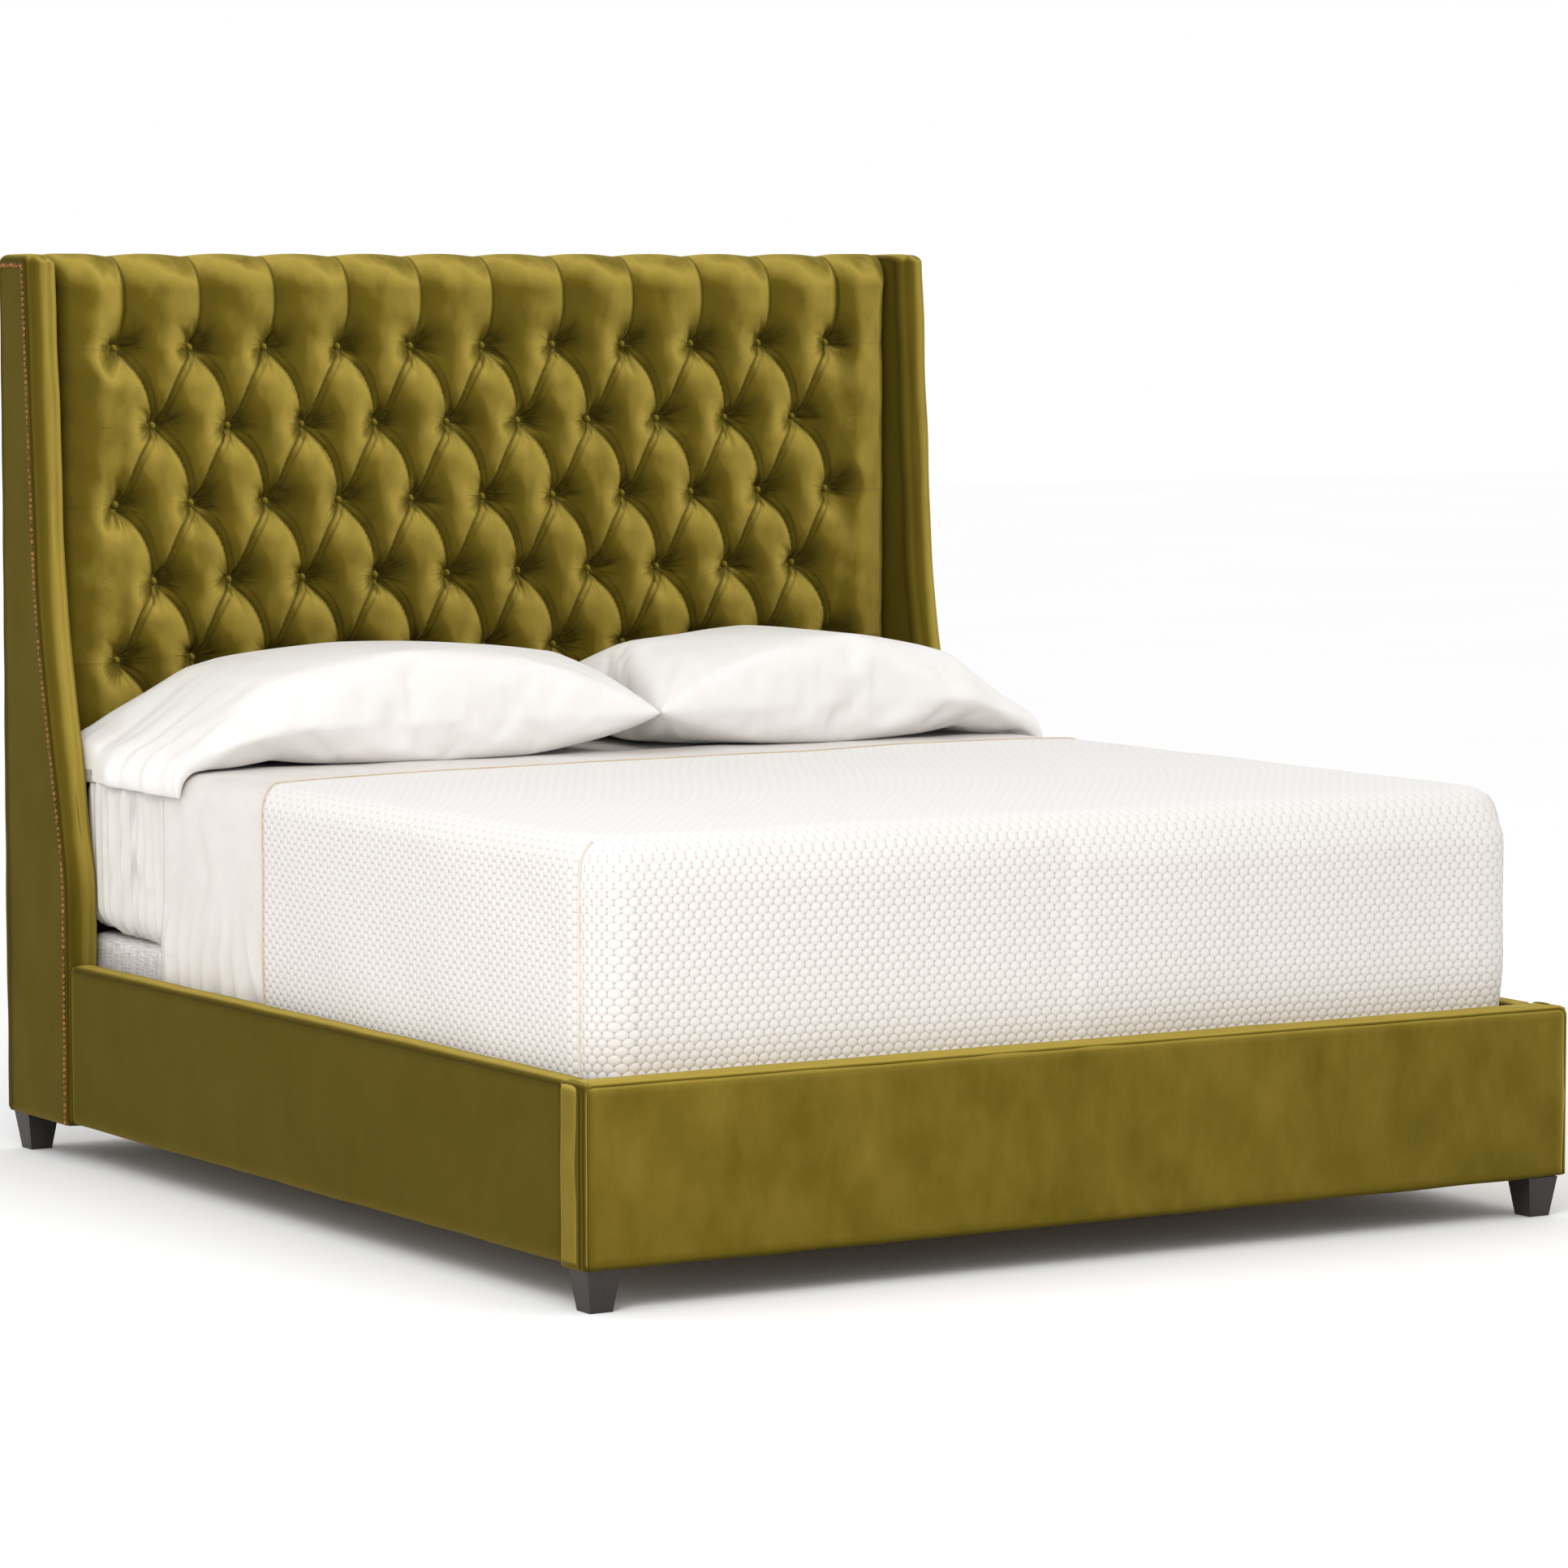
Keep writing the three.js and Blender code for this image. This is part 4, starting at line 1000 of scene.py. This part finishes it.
def lift_head_corners(points, low, high):
    """Rounds the mattress's bottom edge upward towards its head corners."""
    along = smoothstep((points[..., 1] - HEAD_LIFT_FROM) / (high[1] - HEAD_LIFT_FROM))
    lowest = 1 - smoothstep((points[..., 2] - low[2]) / HEAD_LIFT_HEIGHT)
    points[..., 2] += HEAD_LIFT * along * lowest
    return points


def mattress():
    low, high = size("mattress")
    rings = [(inset, 0.0) for inset in MATTRESS_FACE_INSETS]
    rings += [(MATTRESS_EDGE * (1 - math.sin(t)), MATTRESS_EDGE * (1 - math.cos(t)))
              for t in np.linspace(0, math.pi / 2, 7)]
    lower = [(inset, low[2] + rise) for inset, rise in rings]
    upper = [(inset, high[2] - rise) for inset, rise in reversed(rings)]
    cloud = []
    for inset, z in lower + upper:
        outline = mattress_outline(high[0] - inset, low[1] + inset, high[1] - inset,
                                   max(MATTRESS_CORNER - inset, 0.002))
        cloud.append(np.column_stack([outline, np.full(len(outline), z)]))
    points, faces = loft(cloud)
    points = lift_head_corners(points, low, high)
    obj = mesh_object("mattress_ticking", points, faces, TICKING, "mattress", ["mattress"])


def mattress_outline(half_x, y0, y1, radius):
    """A rounded outline with the same number of points whatever its size."""
    turns = [(half_x - radius, y0 + radius, -90), (half_x - radius, y1 - radius, 0),
             (-half_x + radius, y1 - radius, 90), (-half_x + radius, y0 + radius, 180)]
    corners = [[(cx + radius * math.cos(t), cy + radius * math.sin(t))
                for t in np.radians(start + np.linspace(0, 90, 9))] for cx, cy, start in turns]
    points = []
    for corner, following in zip(corners, corners[1:] + corners[:1]):
        begin, end = np.array(corner[-1]), np.array(following[0])
        points += corner
        points += [tuple(begin + (end - begin) * share) for share in np.linspace(0, 1, 21)[1:-1]]
    return np.array(points)


def fitted_sheet():
    low, high = size("mattress")
    drop = high[2] - low[2] - 2 * MATTRESS_EDGE
    points, normal, flat, past = bed_cloth(high[0], low[1], high[1], high[2], drop,
                                           MATTRESS_CORNER, MATTRESS_EDGE, True, SHEET_STEP,
                                           tuck=FITTED_TUCK, offset=FITTED_CLEAR, fine_from=0.44)
    on_side = smoothstep((past - 0.03) / 0.05)
    place = points.reshape(-1, 3)
    sway = wave_noise(place * (1, 1, 0.25), 0.12, 51).reshape(past.shape)
    near_head = smoothstep((flat[..., 1] - FITTED_GATHER[0]) / FITTED_GATHER[1])
    relief = np.zeros_like(past)
    for spacing, height in FITTED_FOLDS:
        phase = (flat[..., 1] + 0.10 * past ** 2) * 2 * math.pi / spacing + 1.3 * sway
        folds = np.clip(np.sin(phase), 0, 1) ** 0.8
        relief += height * (0.12 + 0.88 * near_head) * folds * on_side * (0.75 + 0.25 * sway)
    relief += 0.0015 * wave_noise(place, 0.35, 52).reshape(past.shape) * (1 - on_side)
    points = points + normal * np.clip(relief, 0, None)[..., None]
    points = lift_head_corners(points, low, high)
    obj = cloth_object("fitted_sheet_cloth", points, SHEETING, "mattress", ["fitted_sheet"],
                       flat, SHEET_THICKNESS)


def flat_sheet():
    low, high = size("flat_sheet")
    mat_low, mat_high = size("mattress")
    drop = high[2] - low[2] - MATTRESS_EDGE - 0.004
    points, normal, flat, past = bed_cloth(mat_high[0], mat_low[1], high[1], mat_high[2], drop,
                                           MATTRESS_CORNER, MATTRESS_EDGE, False, SHEET_STEP,
                                           offset=FLAT_CLEAR, fine_from=0.30)
    place = points.reshape(-1, 3)
    on_side = smoothstep((past - 0.04) / 0.06)
    low_down = smoothstep((past - 0.24) / 0.12)
    sway = wave_noise(place, 0.20, 61).reshape(past.shape)
    drapes = np.sin(flat[..., 1] * 2 * math.pi / 0.11 + 2.0 * sway) * 0.5 + 0.5
    fan = (flat[..., 1] - 0.42) / (0.35 + past)
    tucks = np.clip(np.sin(fan * 2 * math.pi / FLAT_TUCK_SPACING + 2.0 * sway), 0, 1) ** 0.7
    uncovered = smoothstep((flat[..., 1] - size("coverlet")[1][1]) / 0.04)
    relief = (FLAT_TUCK_HEIGHT * tucks * low_down * uncovered + 0.0022 * drapes) * on_side
    relief += 0.0010 * (sway + 1)
    near_edge = smoothstep((flat[..., 1] - high[1] + 0.10) / 0.10)
    points[..., 1] += 0.014 * low_down * near_edge
    points = points + normal * relief[..., None]
    obj = cloth_object("flat_sheet_cloth", points, SHEETING, "mattress", ["flat_sheet"],
                       flat, SHEET_THICKNESS)


def coverlet():
    low, high = size("coverlet")
    mat_low, mat_high = size("mattress")
    drop = high[2] - low[2] - MATTRESS_EDGE - 0.010
    points, normal, flat, past = bed_cloth(mat_high[0], mat_low[1], high[1], mat_high[2], drop,
                                           MATTRESS_CORNER, MATTRESS_EDGE, False, SHEET_STEP,
                                           offset=COVERLET_CLEAR)
    shape = past.shape
    level = points.copy()
    # the head edge bows towards the pillows and lies nearer to them on the right
    bow = COVERLET_BOW * np.clip(1 - np.abs(points[..., 0] / high[0]) ** 2.5, 0, 1) ** 0.7
    slant = COVERLET_SLANT * smoothstep(points[..., 0] / high[0])
    near_head = smoothstep((flat[..., 1] - (high[1] - 0.7)) / 0.7)
    points[..., 1] += (bow * (1 - smoothstep(past / 0.06)) + slant) * near_head
    sway = wave_noise(points.reshape(-1, 3), 0.32, 71).reshape(shape)
    relief = 0.0022 * (sway + 1) * (0.4 + 0.6 * smoothstep(past / 0.1))
    # the foot panel lies over the side panels at the corners
    right = level[..., 0] > 0
    seam_y = mat_low[1] + np.where(right, SEAM_SETBACK["right"], SEAM_SETBACK["left"])
    on_foot = smoothstep((seam_y - points[..., 1]) / 0.012) * smoothstep((past - 0.02) / 0.08)
    relief += FOOT_PANEL_PROUD * on_foot
    swell = np.exp(-((points[..., 1] - seam_y) / 0.05) ** 2) * smoothstep((past - 0.03) / 0.08)
    tall = np.where(right, SEAM_SWELL["right"], SEAM_SWELL["left"])
    relief += tall * swell * (1 - smoothstep((past - 0.30) / 0.2))
    points = points + normal * relief[..., None]
    obj = cloth_object("coverlet_cloth", points, QUILT, "mattress", ["coverlet"],
                       flat, COVERLET_THICKNESS)
    lay_quilting(obj, level, flat, past, seam_y, mat_low, mat_high)
    # the hem's tan colour is painted shadow along the coverlet's rolled head edge
    hem("coverlet_hem", points[-1], HEM_RADIUS * 0.7, HEM_PAINTED_SHADOW)
    for side, sign in SIDES.items():
        column = seam_column(points, past, mat_low[1] + SEAM_SETBACK[side], sign)
        # the corner hems' darker cream is painted shadow along the seams
        hem(f"coverlet_corner_hem_{side}", column, HEM_RADIUS, SEAM_PAINTED_SHADE)


def lay_quilting(obj, level, flat, past, seam_y, low, high):
    """Gives the corner of each panel cloth coordinates that run straight to the corner seam."""
    x, y, sign = level[..., 0], level[..., 1], np.sign(flat[..., 0])
    flat_x, foot_y = high[0] - MATTRESS_CORNER, low[1] + MATTRESS_CORNER
    round_corner = np.clip(np.abs(x) - flat_x, 0, None) + np.clip(y - low[1], 0, None)
    foot = np.stack([np.clip(x, -flat_x, flat_x) + sign * np.clip(round_corner, 0, None),
                     low[1] + MATTRESS_EDGE - past], axis=-1)
    aside = np.stack([sign * (high[0] - MATTRESS_EDGE + past),
                      np.minimum(y, foot_y) - np.clip(high[0] - np.abs(x), 0, MATTRESS_CORNER)],
                     axis=-1)
    columns = past.shape[1]
    layer = obj.data.uv_layers["cloth"]
    for face in obj.data.polygons:
        rows, places = np.divmod(np.array(face.vertices), columns)
        if past[rows, places].min() < 0.02:
            continue
        if not (np.abs(x[rows, places]) > flat_x).all() or not (y[rows, places] < foot_y).all():
            continue
        chosen = foot if (y - seam_y)[rows, places].mean() < 0 else aside
        for loop, row, place in zip(face.loop_indices, rows, places):
            layer.data[loop].uv = chosen[row, place]


def seam_column(points, past, seam_y, sign):
    """Points down the side of a cloth where it crosses a level place along the bed."""
    places = []
    for column in range(points.shape[1]):
        line = points[:, column]
        if line[:, 0].mean() * sign < 0.9 or past[points.shape[0] // 2, column] < 0.01:
            continue
        crossing = np.flatnonzero((line[:-1, 1] < seam_y) & (line[1:, 1] >= seam_y))
        if len(crossing):
            k = crossing[-1]
            share = (seam_y - line[k, 1]) / (line[k + 1, 1] - line[k, 1])
            places.append(line[k] + (line[k + 1] - line[k]) * share)
    places = np.array(places)
    return places[np.argsort(-places[:, 2])]


def hem(name, path, radius, material):
    """A rolled hem along the edge of a cloth on the mattress."""
    cloud, faces = tube(path, radius, 6)
    mesh_object(name, cloud, faces, material, "mattress", [], uv=cloud[:, 1:])


def box_spring():
    low, high = size("box_spring_cover")
    drop = high[2] - low[2] - BOX_SPRING_EDGE
    points, normal, flat, past = bed_cloth(high[0], low[1], high[1], high[2], drop,
                                           MATTRESS_CORNER, BOX_SPRING_EDGE, True, LINEN_STEP)
    ripple = 0.0006 * wave_noise(points.reshape(-1, 3), 0.2, 81).reshape(past.shape)
    points = points + normal * ripple[..., None]
    obj = cloth_object("box_spring_upholstery", points, LINEN, "box_spring",
                       ["box_spring_cover", "box_spring_deck"], flat, LINEN_THICKNESS)


# ---- pillows ---------------------------------------------------------------------------------
def pillow_bag(length, depth, flap):
    """A flat sewn case: two layers joined round three edges, with an unfilled end at low x."""
    columns, rows = PILLOW_GRID
    xx, share = np.meshgrid(np.linspace(0, length, columns), np.linspace(-1, 1, rows))
    yy = share * depth / 2 * (0.94 + 0.06 * smoothstep(xx / flap))
    ends = np.clip((length - xx) / 0.05, 0, 1) * np.clip(xx / 0.02, 0, 1)
    sides = np.clip((depth / 2 - np.abs(yy)) / 0.05, 0, 1)
    upper = np.stack([xx, yy, 0.010 * (ends * sides) ** 0.5], axis=-1).reshape(-1, 3)
    points = upper.tolist()
    lower_index = {}
    for r in range(1, rows - 1):
        for c in range(1, columns - 1):
            lower_index[(r, c)] = len(points)
            px, py, pz = upper[r * columns + c]
            points.append([px, py, -pz])

    def under(r, c):
        return lower_index.get((r, c), r * columns + c)

    faces = grid_faces(rows, columns)
    faces += [(under(r, c), under(r + 1, c), under(r + 1, c + 1), under(r, c + 1))
              for r in range(rows - 1) for c in range(columns - 1)]
    filled = smoothstep((np.array(points)[:, 0] - flap * 0.7) / (flap * 0.6))
    return np.array(points), faces, filled


def inflate(obj, filled, pressure):
    """Blows a sewn case up with the cloth solver where it is filled, and returns its points."""
    group = obj.vertex_groups.new(name="filled")
    for index, weight in enumerate(filled):
        group.add([index], float(weight), "REPLACE")
    cloth = obj.modifiers.new("cloth", "CLOTH")
    settings = cloth.settings
    settings.quality = 5
    settings.mass = 0.25
    settings.use_pressure = True
    settings.uniform_pressure_force = pressure
    settings.vertex_group_pressure = "filled"
    settings.tension_stiffness = 20
    settings.compression_stiffness = 20
    settings.shear_stiffness = 8
    settings.bending_stiffness = 0.15
    settings.effector_weights.gravity = 0.0
    scene = bpy.context.scene
    scene.frame_start, scene.frame_end = 1, PILLOW_FRAMES
    cloth.point_cache.frame_start, cloth.point_cache.frame_end = 1, PILLOW_FRAMES
    for number in range(1, PILLOW_FRAMES + 1):
        scene.frame_set(number)
    graph = bpy.context.evaluated_depsgraph_get()
    result = bpy.data.meshes.new_from_object(obj.evaluated_get(graph))
    points = np.zeros(len(result.vertices) * 3)
    result.vertices.foreach_get("co", points)
    bpy.data.meshes.remove(result)
    obj.modifiers.clear()
    obj.vertex_groups.clear()
    scene.frame_set(1)
    return points.reshape(-1, 3)


def pillow_shape(points, length, depth, height):
    """Scales a blown-up case to its size, with its mouth at x = 0 and its seam above z = 0."""
    low, high = points.min(axis=0), points.max(axis=0)
    shaped = (points - (low + high) / 2) / (high - low) * (length, depth, height * 1.12)
    shaped[:, 0] += length / 2
    lifted = np.where(shaped[:, 2] > 0, shaped[:, 2] * 1.15, shaped[:, 2] * 0.85)
    shaped[:, 2] = lifted + PILLOW_SEAM_SHARE * height
    return shaped


def hang_over_edge(points, rest_z, sign):
    """Bends what reaches past the mattress's rounded edge down round it."""
    reach = np.abs(points[:, 0]) - FLAP_BEND_X
    above = points[:, 2] - rest_z
    turn = np.clip(reach / FLAP_BEND_RADIUS, 0, math.pi / 2)
    straight = np.clip(reach - FLAP_BEND_RADIUS * math.pi / 2, 0, None)
    out = FLAP_BEND_X + (FLAP_BEND_RADIUS + above) * np.sin(turn)
    down = rest_z - FLAP_BEND_RADIUS + (FLAP_BEND_RADIUS + above) * np.cos(turn) - straight
    bent = (reach > 0) & (points[:, 0] * sign > 0)
    points[:, 0] = np.where(bent, sign * out, points[:, 0])
    points[:, 2] = np.where(bent, down, points[:, 2])
    wing_y = size("wing_front_band_left")[0][1] + 0.02
    beside_wing = smoothstep((points[:, 1] - wing_y + 0.12) / 0.12)
    limit = size("wing_inner_panel_right")[0][0] - 0.001
    tight = np.clip(np.abs(points[:, 0]) - limit, 0, None) * beside_wing
    points[:, 0] -= sign * tight * (points[:, 0] * sign > 0)
    return points


def pillow(side):
    low, high = size(f"pillow_{side}")
    sign, flap = SIDES[side], FLAP_LENGTH[side]
    outer = sign * FLAP_END[side]
    inner = (high[0] if sign < 0 else low[0]) - sign * PILLOW_TIP_PROUD[side]
    length = abs(outer - inner)
    y_front = low[1] - PILLOW_MOUTH_EXTRA
    depth, height = high[1] - y_front, high[2] - low[2] + 0.006
    points, faces, filled = pillow_bag(length * 1.04, depth * 1.05, flap)
    obj = mesh_object(f"pillowcase_cotton_{side}", points, faces, CASE_COTTON, f"pillow_{side}",
                      [f"pillowcase_{side}", f"pillow_{side}"])
    blown = inflate(obj, filled, PILLOW_PRESSURE)
    shaped = pillow_shape(blown, length, depth, height)
    # the open end sinks to the bed and ripples
    droop = np.clip(1 - shaped[:, 0] / (flap * 1.25), 0, 1)
    shaped[:, 2] -= droop * (PILLOW_SEAM_SHARE * height - 0.012)
    seed = 90 if side == "left" else 92
    for wavelength, tall, stretch in PILLOW_RIPPLES:
        ripple = wave_noise(shaped * (stretch, 1, 0), wavelength, seed)
        shaped[:, 2] += tall * ripple * (1 - smoothstep(shaped[:, 0] / (flap * 1.5)))
        seed += 1
    shaped[:, 2] = PILLOW_SETTLE * np.logaddexp(0, shaped[:, 2] / PILLOW_SETTLE)
    world = np.column_stack([outer - sign * shaped[:, 0],
                             (y_front + high[1]) / 2 + shaped[:, 1],
                             low[2] - PILLOW_SINK + shaped[:, 2]])
    world = hang_over_edge(world, low[2] - PILLOW_SINK, sign)
    obj.data.vertices.foreach_set("co", world.astype(np.float32).ravel())
    if sign > 0:
        obj.data.flip_normals()
    smooth = obj.modifiers.new("smooth", "SUBSURF")
    smooth.levels = smooth.render_levels = 1
    obj.data.update()


# ---- wood, metal and cloth that the CAD already shapes ----------------------------------------
def dress(node, material, bevel=0.0, segments=2):
    obj = frame["nodes"][node]
    obj.data.materials.clear()
    obj.data.materials.append(material)
    if bevel:
        modifier = obj.modifiers.new("worn_edges", "BEVEL")
        modifier.width = bevel
        modifier.segments = segments
        modifier.limit_method = "ANGLE"


def hard_parts():
    for side in SIDES:
        dress(f"wing_core_{side}", LUMBER, TIMBER_EDGE)
        dress(f"side_rail_board_{side}", LUMBER_LONG, TIMBER_EDGE)
        dress(f"slat_ledger_{side}", LUMBER_LONG, TIMBER_EDGE)
        for end in ("front", "back"):
            dress(f"foot_{end}_{side}", ESPRESSO, FOOT_EDGE, 3)
            dress(f"foot_bolt_{end}_{side}", STEEL, BOLT_EDGE)
        for end in ("head", "foot"):
            dress(f"rail_hook_plate_{end}_{side}", STEEL, PLATE_EDGE)
    for name in ("headboard_top_rail", "headboard_bottom_rail", "footboard_core"):
        dress(name, LUMBER, TIMBER_EDGE)
    dress("centre_beam", LUMBER_LONG, BEAM_EDGE)
    for name in sorted(frame["nodes"]):
        if name.startswith("centre_leg"):
            dress(name, LUMBER, BEAM_EDGE)
        if name.startswith("slat_") and "ledger" not in name:
            dress(name, PLYWOOD, TIMBER_EDGE)
    dress("headboard_board", PLYWOOD, BOARD_EDGE)
    dress("headboard_back_cloth", DUST_CLOTH)
    dress("footboard_back_panel", VELVET, BOARD_EDGE)
    dress("box_spring_frame", LUMBER, BOARD_EDGE)


# ---- light, floor and camera -----------------------------------------------------------------
def light(name, place, target, width, power):
    data = bpy.data.lights.new(name, "AREA")
    data.shape = "SQUARE"
    data.size = width
    data.energy = power
    obj = bpy.data.objects.new(name, data)
    obj.location = place
    obj.rotation_euler = (Vector(target) - Vector(place)).to_track_quat("-Z", "Y").to_euler()
    bpy.context.scene.collection.objects.link(obj)


def studio():
    world = bpy.data.worlds.new("studio")
    world.use_nodes = True
    background = world.node_tree.nodes["Background"]
    background.inputs["Color"].default_value = (1.0, 1.0, 1.0, 1.0)
    background.inputs["Strength"].default_value = 1.0
    bpy.context.scene.world = world
    bpy.context.scene.view_settings.view_transform = "Standard"
    light("key", KEY_PLACE, KEY_TARGET, KEY_WIDTH, KEY_POWER)
    floor = bpy.data.meshes.new("floor")
    reach = FLOOR_REACH
    floor.from_pydata([(-reach, -reach, 0), (reach, -reach, 0), (reach, reach, 0),
                       (-reach, reach, 0)], [], [(0, 1, 2, 3)])
    floor.materials.append(floor_material())
    obj = bpy.data.objects.new("floor", floor)
    bpy.context.scene.collection.objects.link(obj)


def camera():
    azimuth, pitch = math.radians(CAMERA_AZIMUTH), math.radians(CAMERA_PITCH)
    data = bpy.data.cameras.new("camera")
    data.sensor_width = CAMERA_SENSOR
    data.lens = CAMERA_LENS
    data.clip_end = 100.0
    obj = bpy.data.objects.new("camera", data)
    back = Vector((math.sin(azimuth) * math.cos(pitch), -math.cos(azimuth) * math.cos(pitch),
                   math.sin(pitch)))
    obj.location = Vector(CAMERA_TARGET) + back * CAMERA_DISTANCE
    obj.rotation_euler = (-back).to_track_quat("-Z", "Y").to_euler()
    bpy.context.scene.collection.objects.link(obj)
    bpy.context.scene.camera = obj


tufted_cover()
covered_buttons()
for wing in SIDES:
    wing_cover(wing)
    nailheads(wing)
rails_and_footboard()
box_spring()
mattress()
fitted_sheet()
flat_sheet()
coverlet()
for which in SIDES:
    pillow(which)
hard_parts()
studio()
camera()
